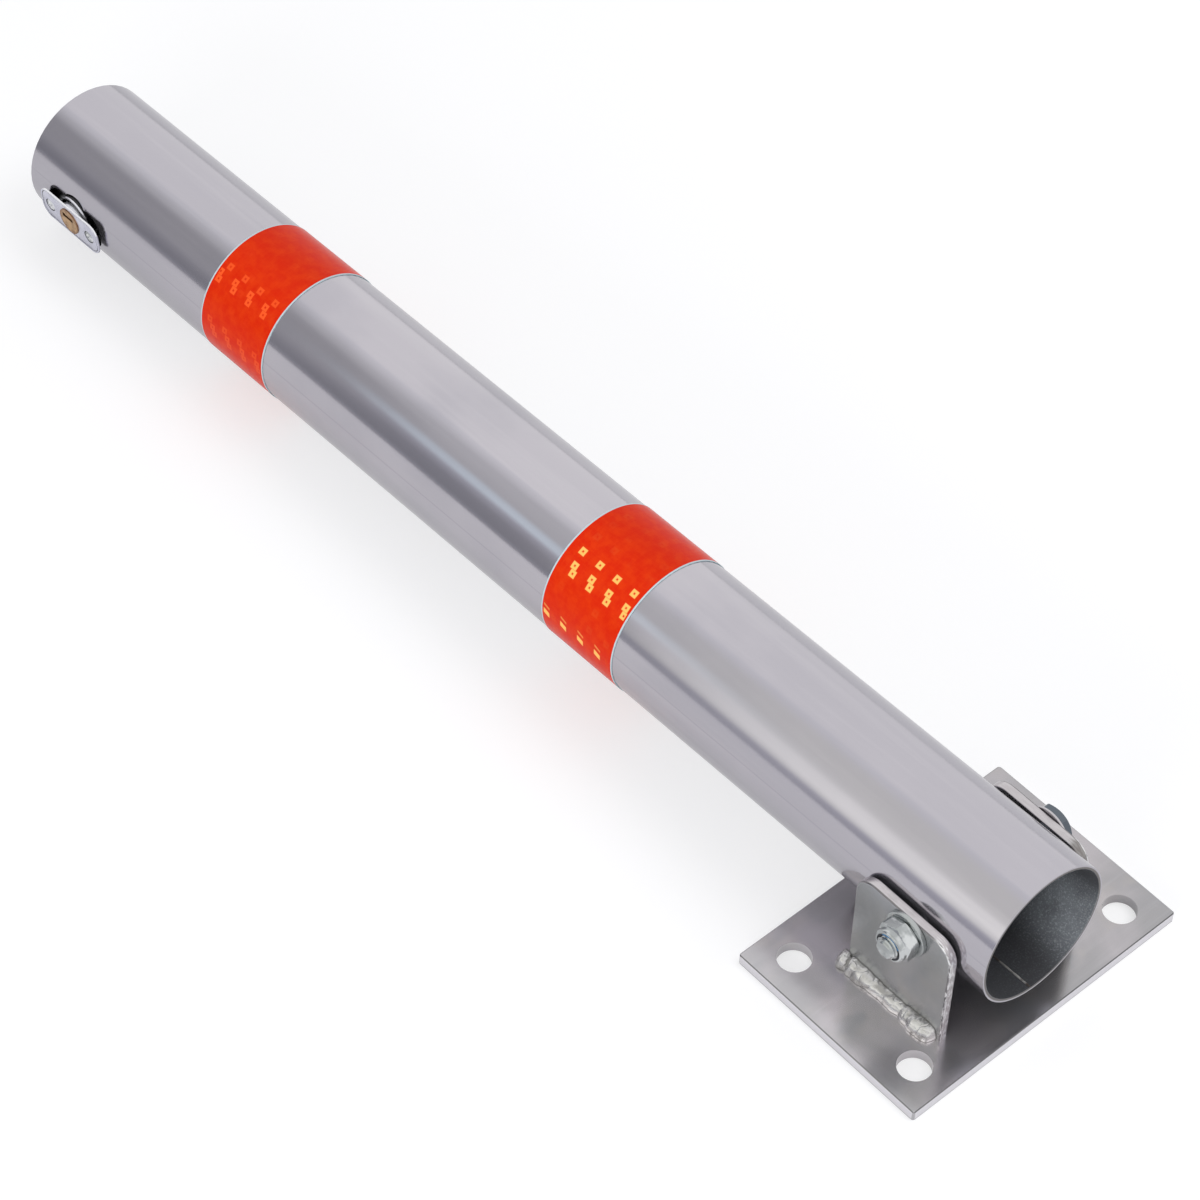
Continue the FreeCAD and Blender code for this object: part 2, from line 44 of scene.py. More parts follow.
import math
from dataclasses import dataclass, field
from enum import Enum

import bmesh
import bpy
from mathutils import Matrix, Vector, geometry, noise

LOG = logging.getLogger("bollard")
MM = 0.001
MERGE = 1e-7
Color = tuple[float, float, float, float]
Triple = tuple[float, float, float]
EdgePoint = tuple[float, float, float, float]
Socket = bpy.types.NodeSocket


class Slot(Enum):
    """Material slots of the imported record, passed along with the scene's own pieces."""

    PLATE = "plate_steel"
    WELD = "weld_metal"
    FASTENER = "zinc_fastener"
    TUBE = "galvanised_steel"
    LOCK = "lock_zinc"


class Body(Enum):
    """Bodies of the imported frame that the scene's own pieces ride on."""

    BASE = "base"
    POST = "post"


@dataclass(frozen=True)
class PostFrame:
    """Where the folded post's own axis lies in the row frame."""

    pivot: Triple = (10.8 * MM, -5.3 * MM, 62.5017 * MM)
    tilt: float = math.radians(2.0861)

    def matrix(self) -> Matrix:
        """Matrix from the post's own frame, X along the axis from the pivot, to the row frame."""
        return Matrix.Translation(Vector(self.pivot)) @ Matrix.Rotation(-self.tilt, 4, "Y")

    def place(self, point: Vector) -> Vector:
        """Row-frame place of a point in the post's own frame.

        Args:
            point: A point in metres, X along the post from the pivot.

        Returns:
            The same point in the row frame.
        """
        return self.matrix() @ point


POST = PostFrame()


@dataclass(frozen=True)
class HingeLine:
    """Sizes along the hinge bolt, measured from the post's axis, -Y towards the nut."""

    bolt_r: float = 6.0 * MM
    flats: float = 19.0 * MM
    nut_seat: float = -46.8 * MM
    head_seat: float = 46.5 * MM
    near_ear_outer: float = -44.3 * MM
    far_ear_outer: float = 45.3 * MM

    def at(self, x: float, y: float, z: float) -> Vector:
        """Row-frame place of a point given from the hinge's middle."""
        return Vector(POST.pivot) + Vector((x, y, z))

    def turned(self, radius: float, angle: float, y: float) -> Vector:
        """Row-frame place of a point on a circle about the bolt, from +X towards +Z."""
        return self.at(radius * math.cos(angle), y, radius * math.sin(angle))


HINGE = HingeLine()


@dataclass(frozen=True)
class LockFrame:
    """The lock's own frame: along the tube, up its side and out of it, from the tube's axis."""

    centre: Triple = (-624.4787 * MM, -5.3 * MM, 39.3617 * MM)
    along: Triple = (0.99933724, 0.0, 0.03640155)
    up: Triple = (-0.0363208, -0.0662739, 0.9971402)
    out: Triple = (0.0024124, -0.9978015, -0.0662300)
    back: float = 40.3 * MM
    front: float = 41.5 * MM

    def matrix(self) -> Matrix:
        """Matrix from the lock's frame to the row frame."""
        turn = Matrix((self.along, self.up, self.out)).transposed().to_4x4()
        return Matrix.Translation(Vector(self.centre)) @ turn

    def at(self, u: float, v: float, w: float) -> Vector:
        """Row-frame place of a point in the lock's frame."""
        return self.matrix() @ Vector((u, v, w))


LOCK = LockFrame()


class NodeGraph:
    """Small helper that adds and joins shader nodes."""

    def __init__(self, name: str) -> None:
        """Makes an empty node material.

        Args:
            name: The material's name.
        """
        self.material = bpy.data.materials.new(name)
        self.material.use_nodes = True
        self.tree = self.material.node_tree
        self.tree.nodes.clear()
        self.output = self.tree.nodes.new("ShaderNodeOutputMaterial")

    def add(self, kind: str, **settings: object) -> bpy.types.Node:
        """Adds a node and sets its properties and input defaults.

        Args:
            kind: The node's type without the ShaderNode prefix.
            settings: Attributes of the node, or input values under in_NAME or in_INDEX.

        Returns:
            The new node.
        """
        node = self.tree.nodes.new("ShaderNode" + kind)
        for key, value in settings.items():
            if key.startswith("in_"):
                label = key[3:]
                index = int(label) if label.isdigit() else label.replace("_", " ")
                self.feed(node.inputs[index], value)
            else:
                setattr(node, key, value)
        return node

    def feed(self, socket: Socket, value: object) -> None:
        """Links an output to a socket, or sets the socket's own value.

        Args:
            socket: The input socket.
            value: Another node's output socket, or a plain value.
        """
        if isinstance(value, Socket):
            self.tree.links.new(value, socket)
        else:
            socket.default_value = value

    def math(self, operation: str, first: object, second: object = 0.0, third: object = 0.0) -> Socket:
        """One Math node.

        Args:
            operation: The operation's name.
            first: First value or output.
            second: Second value or output.
            third: Third value or output.

        Returns:
            The node's output socket.
        """
        node = self.add("Math", operation=operation)
        for socket, value in zip(node.inputs, (first, second, third)):
            self.feed(socket, value)
        return node.outputs[0]

    def plus(self, first: object, second: object) -> Socket:
        """Sum of two values or outputs."""
        return self.math("ADD", first, second)

    def minus(self, first: object, second: object) -> Socket:
        """Difference of two values or outputs."""
        return self.math("SUBTRACT", first, second)

    def times(self, first: object, second: object) -> Socket:
        """Product of two values or outputs."""
        return self.math("MULTIPLY", first, second)

    def most(self, first: object, second: object) -> Socket:
        """Larger of two values or outputs."""
        return self.math("MAXIMUM", first, second)

    def unsigned(self, value: object) -> Socket:
        """Size of a value without its sign."""
        return self.math("ABSOLUTE", value)

    def axes(self, vector: Socket) -> tuple[Socket, Socket, Socket]:
        """X, Y and Z of a vector."""
        parts = self.add("SeparateXYZ", in_0=vector)
        return parts.outputs[0], parts.outputs[1], parts.outputs[2]

    def turn(self, y: Socket, z: Socket) -> Socket:
        """Angle about the X axis in degrees, from +Z towards -Y."""
        return self.math("DEGREES", self.math("ARCTAN2", self.times(y, -1.0), z))

    def band(self, value: Socket, low: float, high: float,
             to_low: float = 0.0, to_high: float = 1.0) -> Socket:
        """Smooth map of a value from one range to another.

        Args:
            value: The value to map.
            low: Start of its range.
            high: End of its range.
            to_low: Result at the start.
            to_high: Result at the end.

        Returns:
            The mapped value.
        """
        node = self.add("MapRange", interpolation_type="SMOOTHSTEP")
        for label, item in (("Value", value), ("From Min", low), ("From Max", high),
                            ("To Min", to_low), ("To Max", to_high)):
            self.feed(node.inputs[label], item)
        return node.outputs["Result"]

    def blend(self, amount: object, first: object, second: object,
              mode: str = "MIX") -> Socket:
        """Mix of two colours.

        Args:
            amount: Share of the second colour.
            first: First colour or output.
            second: Second colour or output.
            mode: The blend type.

        Returns:
            The mixed colour.
        """
        node = self.add("Mix", data_type="RGBA", blend_type=mode)
        self.feed(node.inputs[0], amount)
        self.feed(node.inputs[6], first)
        self.feed(node.inputs[7], second)
        return node.outputs[2]

    def ramp(self, value: Socket,
             stops: tuple[tuple[float, Color], ...]) -> Socket:
        """Colour ramp over a value.

        Args:
            value: The value, 0 to 1.
            stops: Place and colour of each stop.

        Returns:
            The ramp's colour.
        """
        node = self.add("ValToRGB")
        elements = node.color_ramp.elements
        while len(elements) < len(stops):
            elements.new(0.5)
        for element, (place, color) in zip(elements, stops):
            element.position = place
            element.color = color
        self.feed(node.inputs[0], value)
        return node.outputs[0]

    def place(self, matrix: Matrix | None = None,
              scale: Triple = (1.0, 1.0, 1.0)) -> Socket:
        """Object coordinates, moved into another frame if one is given.

        Args:
            matrix: Frame that the coordinates are wanted in.
            scale: Factor for each axis after the move.

        Returns:
            The coordinates.
        """
        source = self.add("TexCoord").outputs["Object"]
        if matrix is None and scale == (1.0, 1.0, 1.0):
            return source
        if matrix is not None:
            back = self.add("Mapping", vector_type="TEXTURE", in_Vector=source)
            back.inputs["Location"].default_value = matrix.translation
            back.inputs["Rotation"].default_value = matrix.to_euler()
            source = back.outputs[0]
        sized = self.add("Mapping", vector_type="POINT", in_Vector=source)
        sized.inputs["Scale"].default_value = scale
        return sized.outputs[0]

    def noise(self, vector: Socket, scale: float, detail: float = 4.0,
              roughness: float = 0.5, distortion: float = 0.0) -> Socket:
        """Noise value at a scale.

        Args:
            vector: The coordinates.
            scale: The noise scale, per metre.
            detail: Octaves.
            roughness: Share of each finer octave.
            distortion: Amount of warp.

        Returns:
            The noise value, about 0 to 1.
        """
        node = self.add("TexNoise", in_Vector=vector, in_Scale=scale, in_Detail=detail,
                        in_Roughness=roughness, in_Distortion=distortion)
        return node.outputs["Fac"]

    def bump(self, height: Socket, distance: float, strength: float = 1.0) -> Socket:
        """Bump from a height.

        Args:
            height: The height value.
            distance: Height of one unit, in metres.
            strength: Strength of the bump.

        Returns:
            The bent normal.
        """
        return self.add("Bump", in_Height=height, in_Distance=distance, in_Strength=strength).outputs[0]

    def surface(self, **inputs: object) -> bpy.types.Material:
        """Ends the material in one Principled shader.

        Args:
            inputs: Values or outputs for the shader's inputs, spaces written as underscores.

        Returns:
            The finished material.
        """
        shader = self.add("BsdfPrincipled")
        for label, value in inputs.items():
            self.feed(shader.inputs[label.replace("_", " ")], value)
        self.tree.links.new(shader.outputs[0], self.output.inputs[0])
        return self.material


class ShapeTree:
    """Geometry Nodes tree with named sizes, run once and turned into a plain mesh."""

    def __init__(self, name: str) -> None:
        """Makes an empty tree.

        Args:
            name: The tree's name.
        """
        self.tree = bpy.data.node_groups.new(name, "GeometryNodeTree")
        self.values: dict[str, float | int] = {}
        face = self.tree.interface
        face.new_socket(name="Geometry", in_out="INPUT", socket_type="NodeSocketGeometry")
        face.new_socket(name="Geometry", in_out="OUTPUT", socket_type="NodeSocketGeometry")
        self.source = self.tree.nodes.new("NodeGroupInput")
        self.target = self.tree.nodes.new("NodeGroupOutput")

    def size(self, name: str, value: float | int) -> Socket:
        """Adds a named input.

        Args:
            name: The input's name.
            value: Its value for this piece.

        Returns:
            The output of the tree's input node.
        """
        kind = "NodeSocketInt" if isinstance(value, int) else "NodeSocketFloat"
        socket = self.tree.interface.new_socket(name=name, in_out="INPUT", socket_type=kind)
        self.values[socket.identifier] = value
        return self.source.outputs[name]

    def add(self, kind: str, **settings: object) -> bpy.types.Node:
        """Adds a node and sets its properties and inputs.

        Args:
            kind: The node's full type.
            settings: Attributes of the node, or input values under in_INDEX.

        Returns:
            The new node.
        """
        node = self.tree.nodes.new(kind)
        for key, value in settings.items():
            if not key.startswith("in_"):
                setattr(node, key, value)
        for key, value in settings.items():
            if key.startswith("in_"):
                self.feed(node.inputs[int(key[3:])], value)
        return node

    def feed(self, socket: Socket, value: object) -> None:
        """Links an output to a socket, or sets the socket's own value.

        Args:
            socket: The input socket.
            value: Another node's output socket, or a plain value.
        """
        if isinstance(value, Socket):
            self.tree.links.new(value, socket)
        else:
            socket.default_value = value

    def math(self, operation: str, first: object, second: object = 0.0) -> Socket:
        """One Math node.

        Args:
            operation: The operation's name.
            first: First value or output.
            second: Second value or output.

        Returns:
            The node's output socket.
        """
        return self.add("ShaderNodeMath", operation=operation, in_0=first, in_1=second).outputs[0]

    def vector(self, x: object, y: object, z: object) -> Socket:
        """Vector from three values."""
        return self.add("ShaderNodeCombineXYZ", in_0=x, in_1=y, in_2=z).outputs[0]

    def close(self, shape: Socket, material: bpy.types.Material, joined: bool) -> None:
        """Ends the tree with Realize Instances and Set Material.

        Args:
            shape: The new shape.
            material: Its material.
            joined: Whether the mesh that the tree runs on stays in the result.
        """
        if joined:
            join = self.add("GeometryNodeJoinGeometry")
            self.tree.links.new(shape, join.inputs[0])
            self.tree.links.new(self.source.outputs["Geometry"], join.inputs[0])
            shape = join.outputs[0]
        real = self.add("GeometryNodeRealizeInstances", in_0=shape)
        dressed = self.add("GeometryNodeSetMaterial", in_0=real.outputs[0])
        dressed.inputs["Material"].default_value = material
        self.tree.links.new(dressed.outputs[0], self.target.inputs[0])

    def run(self, thing: bpy.types.Object, material: bpy.types.Material) -> bpy.types.Object:
        """Runs the tree on an object and leaves the result as its plain mesh.

        Args:
            thing: The object to run on.
            material: Material of the result.

        Returns:
            The same object, without the modifier.
        """
        modifier = thing.modifiers.new("shape", "NODES")
        modifier.node_group = self.tree
        for identifier, value in self.values.items():
            modifier[identifier] = value
        graph = bpy.context.evaluated_depsgraph_get()
        mesh = bpy.data.meshes.new_from_object(thing.evaluated_get(graph))
        thing.modifiers.clear()
        build = bmesh.new()
        build.from_mesh(mesh)
        bmesh.ops.remove_doubles(build, verts=build.verts, dist=MERGE)
        bmesh.ops.recalc_face_normals(build, faces=build.faces)
        build.to_mesh(mesh)
        build.free()
        soften(mesh)
        thing.data = mesh
        mesh.materials.clear()
        mesh.materials.append(material)
        return thing


def soften(mesh: bpy.types.Mesh, degrees: float = 35.0) -> None:
    """Smooth shading with sharp edges above an angle.

    Args:
        mesh: The mesh.
        degrees: The angle.
    """
    mesh.polygons.foreach_set("use_smooth", [True] * len(mesh.polygons))
    mesh.set_sharp_from_angle(angle=math.radians(degrees))


def new_mesh_object(name: str, build: bmesh.types.BMesh, smooth: bool = True) -> bpy.types.Object:
    """Makes an object at the origin from a bmesh.

    Args:
        name: Name of the object.
        build: The mesh, which is freed.
        smooth: Whether its faces are shaded smooth.

    Returns:
        The new object, linked to the scene.
    """
    bmesh.ops.remove_doubles(build, verts=build.verts, dist=MERGE)
    bmesh.ops.recalc_face_normals(build, faces=build.faces)
    mesh = bpy.data.meshes.new(name)
    build.to_mesh(mesh)
    build.free()
    if smooth:
        soften(mesh)
    thing = bpy.data.objects.new(name, mesh)
    bpy.context.scene.collection.objects.link(thing)
    return thing


def add_loops(build: bmesh.types.BMesh, loops: list[list[Vector]], ring: bool) -> None:
    """Joins loops of equally many points into one closed skin.

    Args:
        build: The mesh to add to.
        loops: The loops, in order.
        ring: Whether the last loop joins the first; otherwise both ends are closed by a fan.
    """
    rows = [[build.verts.new(point) for point in loop] for loop in loops]
    count = len(rows[0])
    pairs = list(zip(rows, rows[1:]))
    if ring:
        pairs.append((rows[-1], rows[0]))
    for one, two in pairs:
        for index in range(count):
            after = (index + 1) % count
            build.faces.new((one[index], one[after], two[after], two[index]))
    if ring:
        return
    for row in (rows[0], rows[-1]):
        middle = Vector((0.0, 0.0, 0.0))
        for vert in row:
            middle += vert.co
        pole = build.verts.new(middle / count)
        for index in range(count):
            build.faces.new((row[index], row[(index + 1) % count], pole))


def place_piece(piece: bpy.types.Object, body: Body, slot: Slot, *nodes: str) -> None:
    """Puts a finished piece on its body and hides the nodes that it stands for.

    Args:
        piece: The piece.
        body: The body that it rides on.
        slot: The record's material slot; not used.
        nodes: CAD nodes that it replaces.
    """
    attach(piece, body.value)
    if nodes:
        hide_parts(*nodes)
    LOG.info("piece %s on %s, %d faces", piece.name, body.value, len(piece.data.polygons))


def dress_node(node: str, material: bpy.types.Material) -> None:
    """Gives a CAD node its material.

    Args:
        node: The node's name.
        material: The material for all of its slots.
    """
    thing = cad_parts[node]
    thing.data.materials.clear()
    thing.data.materials.append(material)
    LOG.info("dressed %s with %s", node, material.name)


@dataclass(frozen=True)
class GalvanisedTube:
    """Drawn and galvanised tube: faint clouds, lengthwise draw lines, painted shade darkening it towards
    both ends, and a dark bore with a painted lit patch and painted glints near the mouth.
    """

    name: str = "galvanised_tube"
    color: Color = (0.550, 0.527, 0.568, 1.0)
    dull: Color = (0.500, 0.482, 0.525, 1.0)
    bright: Color = (0.62, 0.597, 0.634, 1.0)
    line: Color = (0.36, 0.34, 0.38, 1.0)
    bore: Color = (0.088, 0.090, 0.098, 1.0)
    # Painted light in the bore: its lit patch and its glints.
    bore_lit_patch: Color = (0.40, 0.43, 0.47, 1.0)
    bore_glint: Color = (0.62, 0.66, 0.70, 1.0)
    burnt: Color = (0.16, 0.145, 0.14, 1.0)
    mouth_x: float = 41.0 * MM
    bore_r: float = 36.0 * MM
    line_angle: float = 78.0
    line_width: float = 0.9
    lit_patch_angle: float = -122.0
    lit_patch_spread: tuple[float, float] = (46.0, 4.0)
    lit_patch_depth: tuple[float, float] = (85.0 * MM, 30.0 * MM)
    # Painted shade: reaches where the post darkens towards its mouth and towards its far end.
    mouth_shade_reach: tuple[float, float] = (-200.0 * MM, 0.0)
    far_end_shade_reach: tuple[float, float] = (-480.0 * MM, -620.0 * MM)
    streaks: Triple = (5.0, 110.0, 110.0)
    clouds: Triple = (9.0, 16.0, 16.0)
    grain_scale: float = 900.0
    grain_depth: float = 0.03 * MM
    glint_scale: float = 1150.0
    stain_scale: float = 60.0

    def material(self) -> bpy.types.Material:
        """Builds the finish.

        Returns:
            The finished material.
        """
        g = NodeGraph(self.name)
        at = g.place(POST.matrix())
        x, y, z = g.axes(at)
        radius = g.math("SQRT", g.plus(g.times(y, y), g.times(z, z)))
        inside = g.band(radius, self.bore_r + 0.4 * MM, self.bore_r + 0.1 * MM)
        streak = g.noise(g.place(POST.matrix(), self.streaks), 1.0, 5.0, 0.6)
        # Painted shade: the zinc turns towards the dull colour near the mouth and near the far end.
        ends = g.most(g.band(x, *self.mouth_shade_reach), g.band(x, *self.far_end_shade_reach))
        cloud = g.noise(g.place(POST.matrix(), self.clouds), 1.0, 4.0, 0.55)
        fine = g.noise(at, self.grain_scale, 2.0, 0.5)
        zinc = g.blend(g.band(cloud, 0.36, 0.62), self.dull, self.color)
        zinc = g.blend(g.times(ends, 0.75), zinc, self.dull)
        zinc = g.blend(g.times(g.band(streak, 0.45, 0.75), 0.3), zinc, self.bright)
        turn = g.turn(y, z)
        off_line = g.unsigned(g.minus(turn, self.line_angle))
        line = g.times(g.band(off_line, self.line_width, self.line_width * 0.3), 0.28)
        zinc = g.blend(line, zinc, self.line)
        cut_end = g.band(x, self.mouth_x - 0.2 * MM, self.mouth_x - 0.05 * MM)
        burr = g.times(cut_end, g.band(radius, self.bore_r + 1.35 * MM, self.bore_r + 0.95 * MM))
        zinc = g.blend(burr, zinc, self.burnt)
        # Painted light in the bore: a pale patch on one side near the mouth, broken up by noise, and
        # glints, strongest in the patch.
        glint_noise = g.noise(at, self.glint_scale, 4.0, 0.75)
        stain = g.noise(at, self.stain_scale, 3.0, 0.5)
        off_side = g.unsigned(g.minus(turn, self.lit_patch_angle))
        side = g.times(g.band(off_side, *self.lit_patch_spread),
                       g.band(x, self.mouth_x - self.lit_patch_depth[0], self.mouth_x - self.lit_patch_depth[1]))
        side = g.times(side, g.band(stain, 0.25, 0.6, 0.5, 1.0))
        dark = g.blend(g.times(side, 0.8), self.bore, self.bore_lit_patch)
        glint = g.times(g.band(glint_noise, 0.50, 0.66), g.plus(0.10, g.times(side, 0.9)))
        dark = g.blend(glint, dark, self.bore_glint)
        color = g.blend(inside, zinc, dark)
        rough = g.plus(g.band(cloud, 0.35, 0.65, 0.14, 0.10), g.times(fine, 0.04))
        rough = g.plus(rough, g.times(inside, 0.22))
        grain = g.plus(g.times(fine, 0.25), g.times(streak, 0.75))
        normal = g.bump(grain, self.grain_depth, 0.6)
        metal = g.minus(0.93, g.times(inside, 0.6))
        return g.surface(Base_Color=color, Metallic=metal, Roughness=rough, Normal=normal)


@dataclass(frozen=True)
class RolledPlate:
    """Bare rolled plate: soft grey clouds, a fine grain, pale sheared edges under a dark edge line, painted
    shading that lightens it towards -Y and darkens it towards +Y, and a painted shadow along the foot of
    its side faces.
    """

    name: str = "rolled_plate"
    color: Color = (0.575, 0.545, 0.568, 1.0)
    dark: Color = (0.44, 0.432, 0.445, 1.0)
    warm: Color = (0.58, 0.54, 0.51, 1.0)
    blue: Color = (0.36, 0.375, 0.41, 1.0)
    sheared: Color = (0.82, 0.80, 0.84, 1.0)
    # The edge line colour also serves as the painted shadow along the foot of the side faces.
    edge_line: Color = (0.10, 0.10, 0.105, 1.0)
    half_x: float = 58.0 * MM
    half_y: float = 86.0 * MM
    top: float = 6.0 * MM
    metallic: float = 0.84
    roughness: tuple[float, float] = (0.15, 0.22)
    shade_gradient: tuple[float, float] = (1.16, 0.89)
    shade_gradient_reach: tuple[float, float] = (-75.0 * MM, 40.0 * MM)
    side_face: tuple[float, float] = (-0.08 * MM, -0.03 * MM)
    line_reach: tuple[float, float] = (-0.56 * MM, -0.46 * MM)
    cloud_scale: float = 15.0
    patch_scale: float = 48.0
    blue_scale: float = 26.0
    brush: Triple = (420.0, 18.0, 420.0)
    brush_depth: float = 0.02 * MM

    def material(self) -> bpy.types.Material:
        """Builds the finish.

        Returns:
            The finished material.
        """
        g = NodeGraph(self.name)
        at = g.place()
        x, y, z = g.axes(at)
        cloud = g.noise(at, self.cloud_scale, 3.0, 0.5, 0.5)
        patch = g.noise(at, self.patch_scale, 3.0, 0.5, 0.3)
        brushed = g.noise(g.place(None, self.brush), 1.0, 4.0, 0.6)
        color = g.blend(g.band(cloud, 0.40, 0.62), self.dark, self.color)
        color = g.blend(g.times(g.band(patch, 0.5, 0.75), 0.35), color, self.warm)
        blue = g.noise(at, self.blue_scale, 3.0, 0.55, 0.4)
        color = g.blend(g.times(g.band(blue, 0.50, 0.68), 0.45), color, self.blue)
        color = g.blend(g.times(g.band(brushed, 0.45, 0.8), 0.10), color, self.sheared)
        # Painted shading: brighter towards -Y, darker towards +Y.
        level = g.band(y, *self.shade_gradient_reach, *self.shade_gradient)
        shade = g.add("CombineXYZ", in_0=level, in_1=level, in_2=level).outputs[0]
        color = g.blend(1.0, color, shade, "MULTIPLY")
        reach_x = g.minus(g.unsigned(x), self.half_x)
        reach_y = g.minus(g.unsigned(y), self.half_y)
        reach = g.most(reach_x, reach_y)
        side = g.times(g.band(reach, *self.side_face), g.band(z, self.top - 0.2 * MM, self.top - 0.6 * MM))
        line = g.times(g.band(reach, *self.line_reach),
                       g.band(z, self.top + self.line_reach[0], self.top + self.line_reach[1]))
        line = g.times(line, g.band(z, self.top + 0.3 * MM, self.top + 0.1 * MM))
        # Painted shadow: a dark line along the foot of the side faces, where the plate meets the floor.
        foot = g.times(g.band(reach, *self.side_face), g.band(z, 0.5 * MM, 0.25 * MM))
        color = g.blend(g.times(line, 0.85), color, self.edge_line)
        color = g.blend(side, color, self.sheared)
        color = g.blend(g.times(foot, 0.7), color, self.edge_line)
        rough = g.band(cloud, 0.3, 0.7, *self.roughness)
        normal = g.bump(brushed, self.brush_depth, 0.5)
        return g.surface(Base_Color=color, Metallic=self.metallic, Roughness=rough, Normal=normal)


@dataclass(frozen=True)
class EarRim:
    """Cut face round an ear: pale and scratched, with a painted highlight of denser bright scratch lines
    and a painted dark reflection where it turns down towards the mouth.
    """

    name: str = "ear_rim"
    color: Color = (0.55, 0.52, 0.535, 1.0)
    scratch_and_highlight: Color = (0.90, 0.90, 0.91, 1.0)
    dark_reflection: Color = (0.17, 0.155, 0.145, 1.0)
    dark_reflection_level: float = 0.0
    metallic: float = 0.85
    roughness: float = 0.20
    worn: Color = (0.4, 0.39, 0.39, 1.0)
    worn_scale: float = 130.0
    grain: Triple = (130.0, 900.0, 260.0)
    grain_depth: float = 0.04 * MM
    turned_down: tuple[float, float] = (14.0 * MM, 19.0 * MM)

    def material(self) -> bpy.types.Material:
        """Builds the finish.

        Returns:
            The finished material.
        """
        g = NodeGraph(self.name)
        at = g.place()
        x = g.axes(at)[0]
        grain = g.noise(g.place(None, self.grain), 1.0, 3.0, 0.6)
        worn = g.noise(at, self.worn_scale, 3.0, 0.6)
        # Where the rim turns down towards the mouth: painted highlight as denser bright scratch lines, and
        # on the far rim a painted dark reflection.
        turned = g.band(g.minus(x, POST.pivot[0]), *self.turned_down)
        scratches_and_highlight = g.times(g.band(grain, 0.42, 0.62), g.plus(0.12, turned))
        color = g.blend(scratches_and_highlight, self.color, self.scratch_and_highlight)
        color = g.blend(g.times(g.band(worn, 0.55, 0.7), 0.25), color, self.worn)
        color = g.blend(g.times(turned, self.dark_reflection_level), color, self.dark_reflection)
        return g.surface(Base_Color=color, Metallic=self.metallic, Roughness=self.roughness,
                         Normal=g.bump(grain, self.grain_depth))


@dataclass(frozen=True)
class WeldMetal:
    """Bead metal: bright on its crests, with painted highlights in flakes low down and at its end, and a
    painted shadow along both toes.
    """

    name: str = "weld_bead"
    color: Color = (0.60, 0.59, 0.585, 1.0)
    oxide: Color = (0.40, 0.39, 0.385, 1.0)
    bare: Color = (0.97, 0.96, 0.95, 1.0)
    toe_shadow: Color = (0.12, 0.115, 0.11, 1.0)
    bright_end: tuple[float, float] = (20.0 * MM, 30.0 * MM)
    highlight_start: tuple[float, float] = (-20.0 * MM, -14.0 * MM)
    highlight_rise: tuple[float, float] = (2.6 * MM, 1.4 * MM)
    toe_shadow_reach: tuple[float, float] = (0.55 * MM, 0.1 * MM)
    lump_scale: float = 170.0
    lump_depth: float = 0.1 * MM
    floor: float = 6.0 * MM

    def material(self) -> bpy.types.Material:
        """Builds the finish.

        Returns:
            The finished material.
        """
        g = NodeGraph(self.name)
        at = g.place()
        x, y, z = g.axes(at)
        off = g.minus(y, POST.pivot[1])
        reach = g.most(g.minus(off, HINGE.far_ear_outer), g.minus(HINGE.near_ear_outer, off))
        rise = g.minus(z, self.floor)
        # Painted shadow along both toes, where the bead meets the ear and the plate.
        toe_shadow = g.most(g.band(reach, *self.toe_shadow_reach), g.band(rise, *self.toe_shadow_reach))
        along = g.minus(x, POST.pivot[0])
        lump = g.noise(at, self.lump_scale, 3.0, 0.55, 0.4)
        color = g.blend(g.band(lump, 0.34, 0.54), self.oxide, self.color)
        # Painted highlights: bright flakes low down on the bead and over its end.
        flake_highlight = g.times(g.band(rise, *self.highlight_rise), g.band(lump, 0.40, 0.52))
        flake_highlight = g.times(flake_highlight, g.band(along, *self.highlight_start))
        flake_highlight = g.most(flake_highlight, g.band(along, *self.bright_end))
        color = g.blend(g.times(flake_highlight, g.band(lump, 0.30, 0.44)), color, self.bare)
        color = g.blend(g.times(toe_shadow, 0.8), color, self.toe_shadow)
        normal = g.bump(lump, self.lump_depth, 0.5)
        rough = g.band(lump, 0.3, 0.7, 0.30, 0.20)
        return g.surface(Base_Color=color, Metallic=0.92, Roughness=rough, Normal=normal)


@dataclass(frozen=True)
class SeamMetal:
    """Metal of the tube's own seam: a broken painted highlight near the mouth, dull and brownish further
    in.
    """

    name: str = "bore_seam_metal"
    bright: Color = (0.85, 0.84, 0.82, 1.0)
    dull: Color = (0.16, 0.135, 0.12, 1.0)
    highlight_from: tuple[float, float] = (12.0 * MM, 34.0 * MM)
    broken_scale: float = 160.0
    broken_depth: float = 0.1 * MM

    def material(self) -> bpy.types.Material:
        """Builds the finish.

        Returns:
            The finished material.
        """
        g = NodeGraph(self.name)
        at = g.place(POST.matrix())
        along = g.axes(at)[0]
        broken = g.noise(at, self.broken_scale, 2.0, 0.5)
        # Painted highlight on the seam near the mouth, broken up by noise.
        bare = g.times(g.band(along, *self.highlight_from), g.band(broken, 0.38, 0.55))
        color = g.blend(bare, self.dull, self.bright)
        return g.surface(Base_Color=color, Metallic=0.6, Roughness=0.4,
                         Normal=g.bump(broken, self.broken_depth))


